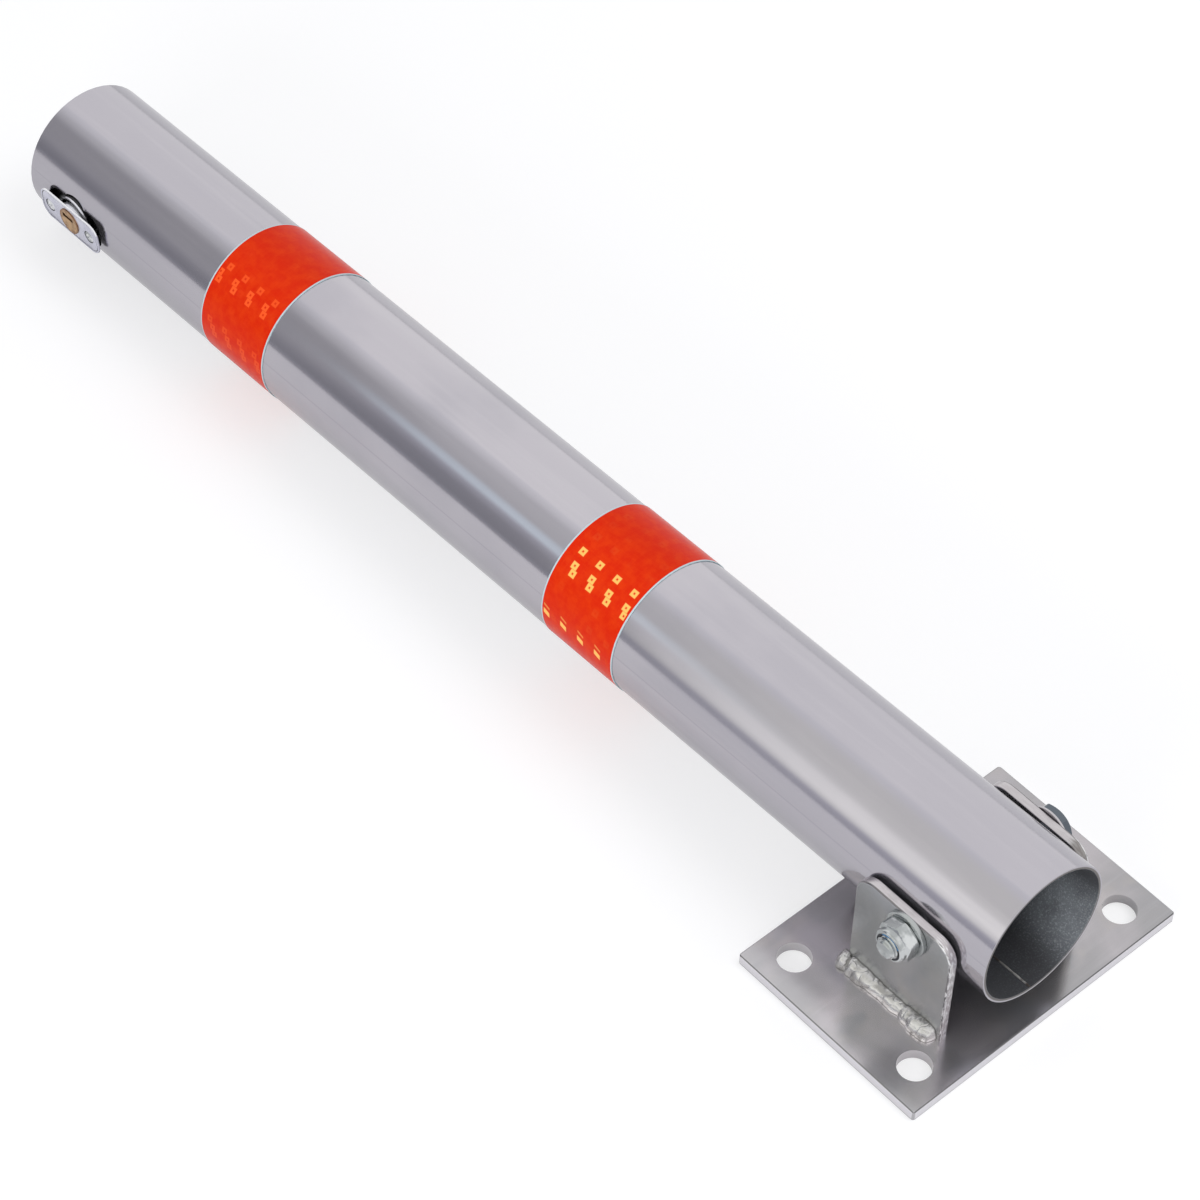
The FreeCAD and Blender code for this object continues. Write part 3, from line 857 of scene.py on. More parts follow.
@dataclass(frozen=True)
class ZincFastener:
    """Zinc plate on turned and pressed parts, with painted shade making it dark on the far side's head."""

    name: str = "zinc_fastener"
    color: Color = (0.67, 0.69, 0.695, 1.0)
    stain: Color = (0.34, 0.36, 0.365, 1.0)
    # far: colour of the painted shade past the far ear.
    far: Color = (0.135, 0.155, 0.18, 1.0)
    roughness: float = 0.10
    far_shade_reach: tuple[float, float] = (30.0 * MM, 40.0 * MM)
    stain_scale: float = 95.0
    grain_scale: float = 1400.0
    grain_depth: float = 0.02 * MM

    def material(self) -> bpy.types.Material:
        """Builds the finish.

        Returns:
            The finished material.
        """
        g = NodeGraph(self.name)
        at = g.place()
        side = g.minus(g.axes(at)[1], POST.pivot[1])
        stain = g.noise(at, self.stain_scale, 3.0, 0.55)
        fine = g.noise(at, self.grain_scale, 2.0, 0.5)
        color = g.blend(g.times(g.band(stain, 0.42, 0.58), 0.8), self.color, self.stain)
        # Painted shade: the parts past the far ear turn dark.
        color = g.blend(g.band(side, *self.far_shade_reach), color, self.far)
        rough = g.band(stain, 0.3, 0.7, self.roughness, self.roughness + 0.1)
        return g.surface(Base_Color=color, Metallic=1.0, Roughness=rough,
                         Normal=g.bump(fine, self.grain_depth))


@dataclass(frozen=True)
class InnerSteel:
    """Plain oiled steel of the parts inside the post."""

    name: str = "inner_steel"
    color: Color = (0.26, 0.26, 0.27, 1.0)
    dark: Color = (0.12, 0.12, 0.13, 1.0)
    cloud_scale: float = 90.0
    grain_scale: float = 1200.0
    grain_depth: float = 0.05 * MM

    def material(self) -> bpy.types.Material:
        """Builds the finish.

        Returns:
            The finished material.
        """
        g = NodeGraph(self.name)
        at = g.place()
        cloud = g.noise(at, self.cloud_scale, 4.0, 0.6)
        fine = g.noise(at, self.grain_scale, 2.0, 0.5)
        color = g.blend(g.band(cloud, 0.35, 0.7), self.dark, self.color)
        rough = g.band(cloud, 0.3, 0.7, 0.4, 0.55)
        return g.surface(Base_Color=color, Metallic=0.85, Roughness=rough,
                         Normal=g.bump(fine, self.grain_depth))


@dataclass(frozen=True)
class NylonRing:
    """Nylon of the nut's locking ring: blue on its upper part, painted shade making it black lower down."""

    name: str = "nylon_ring"
    blue: Color = (0.06, 0.24, 0.50, 1.0)
    ring_shade: Color = (0.006, 0.008, 0.014, 1.0)
    lit_above: tuple[float, float] = (2.2 * MM, 3.6 * MM)
    lit_from: tuple[float, float] = (-5.2 * MM, -4.0 * MM)
    wear_scale: float = 500.0
    wear_depth: float = 0.05 * MM

    def material(self) -> bpy.types.Material:
        """Builds the finish.

        Returns:
            The finished material.
        """
        g = NodeGraph(self.name)
        at = g.place()
        x, _y, z = g.axes(at)
        wear = g.noise(at, self.wear_scale, 2.0, 0.5)
        # Painted shade: black except on the ring's upper part.
        height = g.minus(z, POST.pivot[2])
        along = g.minus(x, POST.pivot[0])
        lit_part = g.times(g.band(height, *self.lit_above), g.band(along, *self.lit_from))
        lit_part = g.times(lit_part, g.band(wear, 0.3, 0.5))
        color = g.blend(lit_part, self.ring_shade, self.blue)
        return g.surface(Base_Color=color, Roughness=0.45, Normal=g.bump(wear, self.wear_depth))


@dataclass(frozen=True)
class LockZinc:
    """Satin die-cast zinc of the lock's face and body, with painted shade making it black below a height
    and within a reach.
    """

    name: str = "lock_zinc"
    color: Color = (0.74, 0.74, 0.84, 1.0)
    shade: Color = (0.62, 0.62, 0.72, 1.0)
    black: Color = (0.006, 0.006, 0.007, 1.0)
    shade_below: float = 0.0
    shade_reach: tuple[float, float] = (24.2 * MM, 8.9 * MM)
    cloud_scale: float = 130.0
    grain_scale: float = 1500.0
    grain_depth: float = 0.03 * MM

    def material(self) -> bpy.types.Material:
        """Builds the finish.

        Returns:
            The finished material.
        """
        g = NodeGraph(self.name)
        at = g.place()
        u, v, w = g.axes(g.place(LOCK.matrix()))
        cloud = g.noise(at, self.cloud_scale, 3.0, 0.5)
        fine = g.noise(at, self.grain_scale, 2.0, 0.5)
        color = g.blend(g.band(cloud, 0.35, 0.7), self.shade, self.color)
        # Painted shade: recesses turn black below a height, within a reach of the lock's middle.
        low = g.band(w, self.shade_below, self.shade_below - 0.08 * MM)
        for place, reach in zip((u, v), self.shade_reach):
            low = g.times(low, g.band(g.unsigned(place), reach + 0.2 * MM, reach))
        color = g.blend(g.times(low, 0.96), color, self.black)
        rough = g.band(cloud, 0.3, 0.7, 0.24, 0.32)
        return g.surface(Base_Color=color, Metallic=0.8, Roughness=rough,
                         Normal=g.bump(fine, self.grain_depth))


@dataclass(frozen=True)
class TurnedBrass:
    """Turned brass of the lock's plug, browner in its worn patches and round its rim."""

    name: str = "turned_brass"
    color: Color = (0.64, 0.41, 0.21, 1.0)
    shade: Color = (0.30, 0.16, 0.07, 1.0)
    rim: Color = (0.28, 0.13, 0.06, 1.0)
    radius: float = 7.7 * MM
    cloud_scale: float = 260.0
    grain_scale: float = 1800.0
    grain_depth: float = 0.04 * MM

    def material(self) -> bpy.types.Material:
        """Builds the finish.

        Returns:
            The finished material.
        """
        g = NodeGraph(self.name)
        at = g.place()
        cloud = g.noise(at, self.cloud_scale, 3.0, 0.6)
        fine = g.noise(at, self.grain_scale, 2.0, 0.5)
        color = g.blend(g.band(cloud, 0.3, 0.65), self.shade, self.color)
        u, v, _w = g.axes(g.place(LOCK.matrix()))
        radius = g.math("SQRT", g.plus(g.times(u, u), g.times(v, v)))
        rim = g.band(radius, self.radius - 1.5 * MM, self.radius - 0.3 * MM)
        color = g.blend(g.times(rim, 0.75), color, self.rim)
        rough = g.band(cloud, 0.3, 0.7, 0.26, 0.36)
        return g.surface(Base_Color=color, Metallic=0.95, Roughness=rough,
                         Normal=g.bump(fine, self.grain_depth))


@dataclass(frozen=True)
class SparkRow:
    """One row of painted glints on the prism cells along a tape: angle from +Z towards -Y and first cell's
    place.
    """

    angle: float
    first: float
    pair: bool = False
    dash: bool = False
    level: float = 1.0


@dataclass(frozen=True)
class PrismTape:
    """Orange-red prismatic tape with pale edges, fine ribs, and rows of painted glints on its prism cells,
    which also glow faintly.
    """

    name: str = "prism_tape"
    centre: float = -232.4 * MM
    width: float = 50.8 * MM
    color: Color = (0.79, 0.040, 0.002, 1.0)
    deep: Color = (0.74, 0.021, 0.001, 1.0)
    pale: Color = (0.82, 0.070, 0.010, 1.0)
    edge: Color = (0.56, 0.68, 0.72, 1.0)
    spark: Color = (1.0, 0.52, 0.13, 1.0)
    edge_width: float = 0.8 * MM
    cell: float = 12.2 * MM
    outer_r: float = 38.4 * MM
    rows: tuple[SparkRow, ...] = ()
    faint: float = 0.035
    square_outer: tuple[float, float] = (2.15 * MM, 1.60 * MM)
    square_inner: tuple[float, float] = (0.20 * MM, 0.85 * MM)
    pair_shifts: tuple[tuple[float, float], ...] = ((-0.6 * MM, -1.9 * MM), (0.7 * MM, 1.9 * MM))
    lattice_step: float = 14.8
    lattice_angle: float = 29.5
    lattice_shift: float = 16.6 * MM
    lattice_scale: float = 60.0
    rib_pitch: float = 0.8 * MM
    rib_clouds: Triple = (30.0, 220.0, 220.0)
    prism_pitch: float = 1.22 * MM
    prism_depth: float = 0.04 * MM
    shade_scale: float = 190.0

    def hollow(self, g: NodeGraph, u: Socket, v: Socket, shift: tuple[float, float] = (0.0, 0.0)) -> Socket:
        """Mask of one small hollow square.

        Args:
            g: The material's graph.
            u: Place along the tube, from the cell's middle.
            v: Place round the tube, from the row's middle.
            shift: Where the square's middle lies in u and v.

        Returns:
            The mask, 0 to 1.
        """
        far = g.most(g.unsigned(g.minus(u, shift[0])), g.unsigned(g.minus(v, shift[1])))
        return g.times(g.band(far, *self.square_outer), g.band(far, *self.square_inner))

    def dashes(self, g: NodeGraph, u: Socket, v: Socket) -> Socket:
        """Mask of a short slanted stroke with a thin one beside it.

        Args:
            g: The material's graph.
            u: Place along the tube, from the cell's middle.
            v: Place round the tube, from the row's middle.

        Returns:
            The mask, 0 to 1.
        """
        slant = g.minus(v, g.times(u, 0.35))
        length = g.band(g.unsigned(u), 2.4 * MM, 1.8 * MM)
        bold = g.band(g.unsigned(slant), 1.9 * MM, 1.2 * MM)
        thin = g.band(g.unsigned(g.plus(slant, 4.2 * MM)), 0.9 * MM, 0.3 * MM)
        return g.times(length, g.most(bold, g.times(thin, 0.45)))

    def sparks(self, g: NodeGraph, across: Socket, turn: Socket, at: Socket) -> Socket:
        """Mask of every painted glint.

        Args:
            g: The material's graph.
            across: Place along the tube from the tape's middle.
            turn: Angle from +Z towards -Y in degrees.
            at: The coordinates in the post's frame.

        Returns:
            The mask, 0 to 1.
        """
        arc = math.radians(1.0) * self.outer_r
        half_cell = self.cell / 2.0
        half_step = self.lattice_step / 2.0
        total: object = 0.0
        for row in self.rows:
            v = g.times(g.minus(turn, row.angle), arc)
            u = g.math("WRAP", g.minus(across, row.first), half_cell, -half_cell)
            if row.dash:
                mask = self.dashes(g, u, v)
            elif row.pair:
                low, high = self.pair_shifts
                mask = g.most(self.hollow(g, u, v, low), self.hollow(g, u, v, high))
            else:
                mask = self.hollow(g, u, v)
            total = g.most(total, g.times(mask, row.level))
        # Faint painted glints over the whole lattice of cells.
        v = g.times(g.math("WRAP", g.minus(turn, self.lattice_angle), half_step, -half_step), arc)
        u = g.math("WRAP", g.plus(across, self.lattice_shift), half_cell, -half_cell)
        patch = g.band(g.noise(at, self.lattice_scale, 2.0, 0.5), 0.35, 0.7)
        lattice = g.times(self.hollow(g, u, v), g.times(patch, self.faint))
        inside = g.band(g.unsigned(across), self.width / 2.0 - 1.6 * MM, self.width / 2.0 - 2.0 * MM)
        return g.times(g.most(total, lattice), inside)

    def material(self) -> bpy.types.Material:
        """Builds the finish.

        Returns:
            The finished material.
        """
        g = NodeGraph(self.name)
        at = g.place(POST.matrix())
        x, y, z = g.axes(at)
        across = g.minus(x, self.centre)
        turn = g.turn(y, z)
        around = g.times(turn, math.radians(1.0) * self.outer_r)
        border = self.width / 2.0 - self.edge_width
        edge = g.band(g.unsigned(across), border - 0.1 * MM, border + 0.1 * MM)
        rim = g.band(g.unsigned(across), border - 1.6 * MM, border - 0.6 * MM)
        rib = g.band(g.math("PINGPONG", around, self.rib_pitch), 0.0, 0.28 * MM, 1.0, 0.0)
        patches = g.noise(g.place(POST.matrix(), self.rib_clouds), 1.0)
        rib = g.times(rib, g.band(patches, 0.4, 0.7))
        prism = g.math("MINIMUM", g.math("PINGPONG", across, self.prism_pitch),
                       g.math("PINGPONG", around, self.prism_pitch))
        groove = g.band(prism, 0.0, 0.3 * MM, 1.0, 0.0)
        shade = g.noise(at, self.shade_scale, 4.0, 0.6)
        body = g.blend(g.band(shade, 0.35, 0.7), self.deep, self.color)
        body = g.blend(g.times(groove, 0.12), body, self.pale)
        body = g.blend(g.times(rib, 0.30), body, self.deep)
        body = g.blend(g.times(rim, 0.6), body, self.deep)
        spark = self.sparks(g, across, turn, at)
        body = g.blend(spark, body, self.spark)
        color = g.blend(edge, body, self.edge)
        height = g.minus(1.0, g.times(groove, 0.5))
        normal = g.bump(height, self.prism_depth, 0.4)
        # Painted glow: the glints also emit a little light.
        glow = g.times(g.times(spark, spark), 0.12)
        return g.surface(Base_Color=color, Roughness=0.22, IOR=1.17, Normal=normal,
                         Emission_Color=self.spark, Emission_Strength=glow)


@dataclass(frozen=True)
class PhotoCamera:
    """Camera at the photograph's viewing angle."""

    azimuth: float = 47.272
    elevation: float = 49.228
    roll: float = 1.682
    distance: float = 1857.249 * MM
    offset_right: float = -176.026 * MM
    offset_up: float = 167.698 * MM
    focal_px: float = 3987.649
    centre_px: tuple[float, float] = (587.256, 601.142)
    image_px: float = 1200.0
    sensor_mm: float = 36.0
    aim: Triple = (10.789 * MM, -5.333 * MM, 0.0)

    def build(self) -> None:
        """Adds the camera and makes it the scene's."""
        a, e, roll = (math.radians(v) for v in (self.azimuth, self.elevation, self.roll))
        back = Vector((math.sin(a) * math.cos(e), -math.cos(a) * math.cos(e), math.sin(e)))
        right = (-back).cross(Vector((0.0, 0.0, 1.0))).normalized()
        up = right.cross(-back)
        turned_right = right * math.cos(roll) + up * math.sin(roll)
        turned_up = up * math.cos(roll) - right * math.sin(roll)
        place = Vector(self.aim) + back * self.distance
        place += turned_right * self.offset_right + turned_up * self.offset_up
        data = bpy.data.cameras.new("photo_camera")
        data.sensor_width = self.sensor_mm
        data.lens = self.focal_px / self.image_px * self.sensor_mm
        data.shift_x = (self.image_px / 2.0 - self.centre_px[0]) / self.image_px
        data.shift_y = (self.centre_px[1] - self.image_px / 2.0) / self.image_px
        data.clip_start = 0.01
        camera = bpy.data.objects.new("photo_camera", data)
        basis = Matrix((turned_right, turned_up, back)).transposed().to_4x4()
        camera.matrix_world = Matrix.Translation(place) @ basis
        bpy.context.scene.collection.objects.link(camera)
        bpy.context.scene.camera = camera


@dataclass(frozen=True)
class PanelBand:
    """Brightness of the reflector panel at an angle from straight up, and its tint."""

    angle: float
    level: float
    tint: Triple = (0.97, 0.98, 1.0)

    def stop(self, span: float, top: float) -> tuple[float, Color]:
        """Place and colour of this band in a colour ramp over the span."""
        color = tuple(self.level / top * part for part in self.tint)
        return self.angle / span, (color[0], color[1], color[2], 1.0)


WHITE = (1.0, 1.0, 1.0, 1.0)
COOL = (0.88, 1.0, 1.07)
DUSK = (0.96, 0.97, 1.08)
WARM = (1.0, 1.005, 0.96)


@dataclass
class Studio:
    """Pale floor, white surround, soft lamps and the reflector panel beside the post."""

    floor_level: float = -0.0003
    floor_half: float = 6.0
    floor_color: Color = (0.45, 0.45, 0.46, 1.0)
    floor_glow: float = 0.60
    far_glow: float = 0.80
    floor_mirror: float = 0.375
    world_light: Color = (0.97, 0.98, 1.0, 1.0)
    world_strength: float = 0.60
    panel_radius: float = 1.0
    panel_start: float = math.radians(4.0)
    panel_end: float = math.radians(92.8)
    panel_x: tuple[float, float] = (-2.1, 0.5)
    panel_lift: float = 0.05
    panel_steps: int = 48
    panel_span: float = 93.0
    panel_top: float = 1.24
    panel_low_end: Color = (0.335, 0.335, 0.35, 1.0)
    lamp_aim: Triple = (-0.3, 0.0, 0.05)
    far_bands: tuple[PanelBand, ...] = (
        PanelBand(0.0, 0.99), PanelBand(11.0, 0.85), PanelBand(20.0, 0.66), PanelBand(42.0, 0.61),
        PanelBand(48.0, 0.86, COOL), PanelBand(54.0, 0.90, COOL), PanelBand(60.0, 0.48, DUSK),
        PanelBand(70.0, 0.31, DUSK), PanelBand(85.0, 0.27, DUSK), PanelBand(93.0, 0.37, DUSK))
    near_bands: tuple[PanelBand, ...] = (
        PanelBand(0.0, 0.97), PanelBand(10.0, 0.90), PanelBand(20.0, 0.86, WARM),
        PanelBand(42.0, 0.86, WARM), PanelBand(52.0, 0.95, WARM), PanelBand(59.0, 1.19, WARM),
        PanelBand(72.0, 1.23, WARM), PanelBand(78.0, 1.05, WARM), PanelBand(84.0, 0.54, DUSK),
        PanelBand(93.0, 0.46, DUSK))

    def floor_material(self) -> bpy.types.Material:
        """Builds the pale floor, which glows for the camera, more so far off, and dimly in reflections.

        Returns:
            The finished material.
        """
        g = NodeGraph("studio_floor")
        shader = g.add("BsdfPrincipled")
        shader.inputs["Base Color"].default_value = self.floor_color
        shader.inputs["Roughness"].default_value = 0.9
        shader.inputs["Specular IOR Level"].default_value = 0.1
        glow = g.add("Emission")
        glow.inputs[0].default_value = WHITE
        rays = g.add("LightPath")
        seen = g.most(rays.outputs["Is Camera Ray"], rays.outputs["Is Transmission Ray"])
        at = g.place()
        away = g.add("VectorMath", operation="LENGTH", in_0=at).outputs["Value"]
        seen = g.times(seen, g.band(away, 1.3, 3.6, self.floor_glow, self.far_glow))
        along = g.axes(at)[0]
        level = g.band(along, -1.25, -0.85, self.floor_mirror * 0.84, self.floor_mirror)
        mirrored = g.times(rays.outputs["Is Glossy Ray"], level)
        g.feed(glow.inputs[1], g.most(seen, mirrored))
        both = g.add("AddShader")
        g.tree.links.new(shader.outputs[0], both.inputs[0])
        g.tree.links.new(glow.outputs[0], both.inputs[1])
        g.tree.links.new(both.outputs[0], g.output.inputs[0])
        return g.material

    def build_floor(self) -> None:
        """Adds the flat floor."""
        build = bmesh.new()
        bmesh.ops.create_grid(build, x_segments=1, y_segments=1, size=self.floor_half)
        bmesh.ops.translate(build, verts=build.verts, vec=(0.0, 0.0, self.floor_level))
        floor = new_mesh_object("studio_floor", build, smooth=False)
        floor.data.materials.append(self.floor_material())

    def build_world(self) -> None:
        """World: white where it is seen or mirrored, softer where it lights matt surfaces."""
        world = bpy.data.worlds.new("studio")
        bpy.context.scene.world = world
        world.use_nodes = True
        tree = world.node_tree
        tree.nodes.clear()
        out = tree.nodes.new("ShaderNodeOutputWorld")
        soft = tree.nodes.new("ShaderNodeBackground")
        soft.inputs[0].default_value = self.world_light
        soft.inputs[1].default_value = self.world_strength
        white = tree.nodes.new("ShaderNodeBackground")
        white.inputs[0].default_value = WHITE
        rays = tree.nodes.new("ShaderNodeLightPath")
        seen = rays.outputs["Is Camera Ray"]
        for label in ("Is Glossy Ray", "Is Transmission Ray"):
            most = tree.nodes.new("ShaderNodeMath")
            most.operation = "MAXIMUM"
            tree.links.new(seen, most.inputs[0])
            tree.links.new(rays.outputs[label], most.inputs[1])
            seen = most.outputs[0]
        mix = tree.nodes.new("ShaderNodeMixShader")
        tree.links.new(seen, mix.inputs[0])
        tree.links.new(soft.outputs[0], mix.inputs[1])
        tree.links.new(white.outputs[0], mix.inputs[2])
        tree.links.new(mix.outputs[0], out.inputs[0])

    def panel_material(self) -> bpy.types.Material:
        """Builds the panel: bands of grey by angle, one set for its far part and one for its near part.

        Returns:
            The finished material.
        """
        g = NodeGraph("reflector_panel")
        x, y, z = g.axes(g.place())
        lift = g.minus(z, self.panel_lift)
        angle = g.turn(y, lift)
        part = g.math("DIVIDE", angle, self.panel_span)
        far, near = [g.ramp(part, tuple(band.stop(self.panel_span, self.panel_top) for band in bands))
                     for bands in (self.far_bands, self.near_bands)]
        color = g.blend(g.band(x, -0.86, -0.60), far, near)
        low_end = g.times(g.band(x, -1.02, -1.14), g.band(angle, 20.0, 34.0))
        low_end = g.times(low_end, g.band(angle, 84.0, 56.0))
        color = g.blend(low_end, color, self.panel_low_end)
        glow = g.add("Emission")
        g.feed(glow.inputs[0], color)
        glow.inputs[1].default_value = self.panel_top
        g.tree.links.new(glow.outputs[0], g.output.inputs[0])
        return g.material

    def build_panel(self) -> None:
        """Adds the curved panel, which only reflections see."""
        build = bmesh.new()
        rows = []
        for index in range(self.panel_steps + 1):
            angle = self.panel_start + (self.panel_end - self.panel_start) * index / self.panel_steps
            y = -self.panel_radius * math.sin(angle)
            z = self.panel_lift + self.panel_radius * math.cos(angle)
            rows.append([build.verts.new((x, y, z)) for x in self.panel_x])
        for one, two in zip(rows, rows[1:]):
            build.faces.new((one[0], one[1], two[1], two[0]))
        panel = new_mesh_object("reflector_panel", build)
        panel.data.materials.append(self.panel_material())
        panel.visible_camera = False
        panel.visible_diffuse = False
        panel.visible_shadow = False
        panel.visible_transmission = False

    def build_lamp(self, name: str, place: Triple, size: float, power: float) -> None:
        """Adds a square soft lamp aimed at the middle of the object, which reflections don't show.

        Args:
            name: The lamp's name.
            place: Where it stands.
            size: Side of the square.
            power: Watts.
        """
        data = bpy.data.lights.new(name, "AREA")
        data.shape = "SQUARE"
        data.size = size
        data.energy = power
        lamp = bpy.data.objects.new(name, data)
        lamp.location = place
        aim = Vector(self.lamp_aim) - Vector(place)
        lamp.rotation_euler = aim.to_track_quat("-Z", "Y").to_euler()
        lamp.visible_glossy = False
        bpy.context.scene.collection.objects.link(lamp)

    def build(self) -> None:
        """Adds the floor, the world, the panel and the lamps."""
        self.build_floor()
        self.build_world()
        self.build_panel()
        self.build_lamp("key_lamp", (0.6, 0.9, 2.2), 1.6, 21.0)
        self.build_lamp("fill_lamp", (0.5, -2.3, 0.55), 1.5, 36.0)
        LOG.info("studio ready")


@dataclass
class EarPlate:
    """One upright ear with rounded top corners, softened edges and its bolt hole."""

    name: str
    node: str
    outer: float
    side: float
    left: float = -33.6 * MM
    right: float = 26.4 * MM
    top: float = 10.2 * MM
    foot: float = -57.4 * MM
    thickness: float = 5.0 * MM
    corner: float = 11.0 * MM
    hole: float = 6.3 * MM
    soft_outer: float = 0.8 * MM
    soft_inner: float = 0.5 * MM
    border: float = 0.4 * MM
    side_steps: int = 14
    corner_steps: int = 14
    top_steps: int = 12
    foot_steps: int = 10
    soft_steps: int = 5
    flat_limit: float = 0.985
    rim_limit: float = 0.98
    edge_limit: float = 0.12

    def corner_points(self, middle: float, shoulder: float, start: float) -> list[EdgePoint]:
        """Points of one rounded top corner.

        Args:
            middle: Place of its centre along X.
            shoulder: Height of its centre.
            start: Direction of its first point in degrees.

        Returns:
            Place along X, height and direction that leads inwards, for each point.
        """
        points = []
        for index in range(self.corner_steps + 1):
            angle = math.radians(start - 90.0 * index / self.corner_steps)
            across, rise = math.cos(angle), math.sin(angle)
            points.append((middle + self.corner * across, shoulder + self.corner * rise, -across, -rise))
        return points

    def outline(self) -> list[EdgePoint]:
        """Points of the outline in the hinge's frame.

        Returns:
            Place along X, height and direction that leads inwards, for each point.
        """
        shoulder = self.top - self.corner
        left, right = self.left + self.corner, self.right - self.corner
        points = []
        for index in range(self.side_steps):
            z = self.foot + (shoulder - self.foot) * index / self.side_steps
            points.append((self.left, z, 1.0, 0.0))
        points += self.corner_points(left, shoulder, 180.0)
        for index in range(1, self.top_steps):
            x = left + (self.right - self.left - 2.0 * self.corner) * index / self.top_steps
            points.append((x, self.top, 0.0, -1.0))
        points += self.corner_points(right, shoulder, 90.0)
        for index in range(1, self.side_steps + 1):
            z = shoulder + (self.foot - shoulder) * index / self.side_steps
            points.append((self.right, z, -1.0, 0.0))
        for index in range(1, self.foot_steps):
            x = self.right + (self.left - self.right) * index / self.foot_steps
            points.append((x, self.foot, 0.0, 0.0))
        return points

    def build(self, material: bpy.types.Material, rim: bpy.types.Material,
              edge: bpy.types.Material) -> None:
        """Builds the ear and puts it in place.

        Args:
            material: The plate's finish, for both flat faces.
            rim: Finish of the cut face round the ear.
            edge: Finish of the softened outer edge.
        """
        points = self.outline()
        inner = self.outer - self.side * self.thickness
        stations: list[tuple[float, float]] = [(self.soft_inner + self.border, inner)]
        quarter = [math.radians(90.0 * index / self.soft_steps) for index in range(self.soft_steps + 1)]
        for angle in quarter:
            stations.append((self.soft_inner * (1.0 - math.sin(angle)),
                             inner + self.side * self.soft_inner * (1.0 - math.cos(angle))))
        for angle in quarter:
            stations.append((self.soft_outer * (1.0 - math.cos(angle)),
                             self.outer - self.side * self.soft_outer * (1.0 - math.sin(angle))))
        stations.append((self.soft_outer + self.border, self.outer))
        loops = []
        for inset, y in stations:
            loops.append([HINGE.at(x + dx * inset, y, z + dz * inset) for x, z, dx, dz in points])
        for y in (self.outer, inner):
            loops.append([HINGE.turned(self.hole, math.atan2(z, x), y) for x, z, _dx, _dz in points])
        build = bmesh.new()
        add_loops(build, loops, ring=True)
        ear = new_mesh_object(self.name, build)
        for finish in (material, rim, edge):
            ear.data.materials.append(finish)
        for face in ear.data.polygons:
            facing = self.side * face.normal.y
            if self.edge_limit < facing < self.flat_limit:
                face.material_index = 2
            elif abs(facing) < self.rim_limit:
                face.material_index = 1
        place_piece(ear, Body.BASE, Slot.PLATE, self.node)


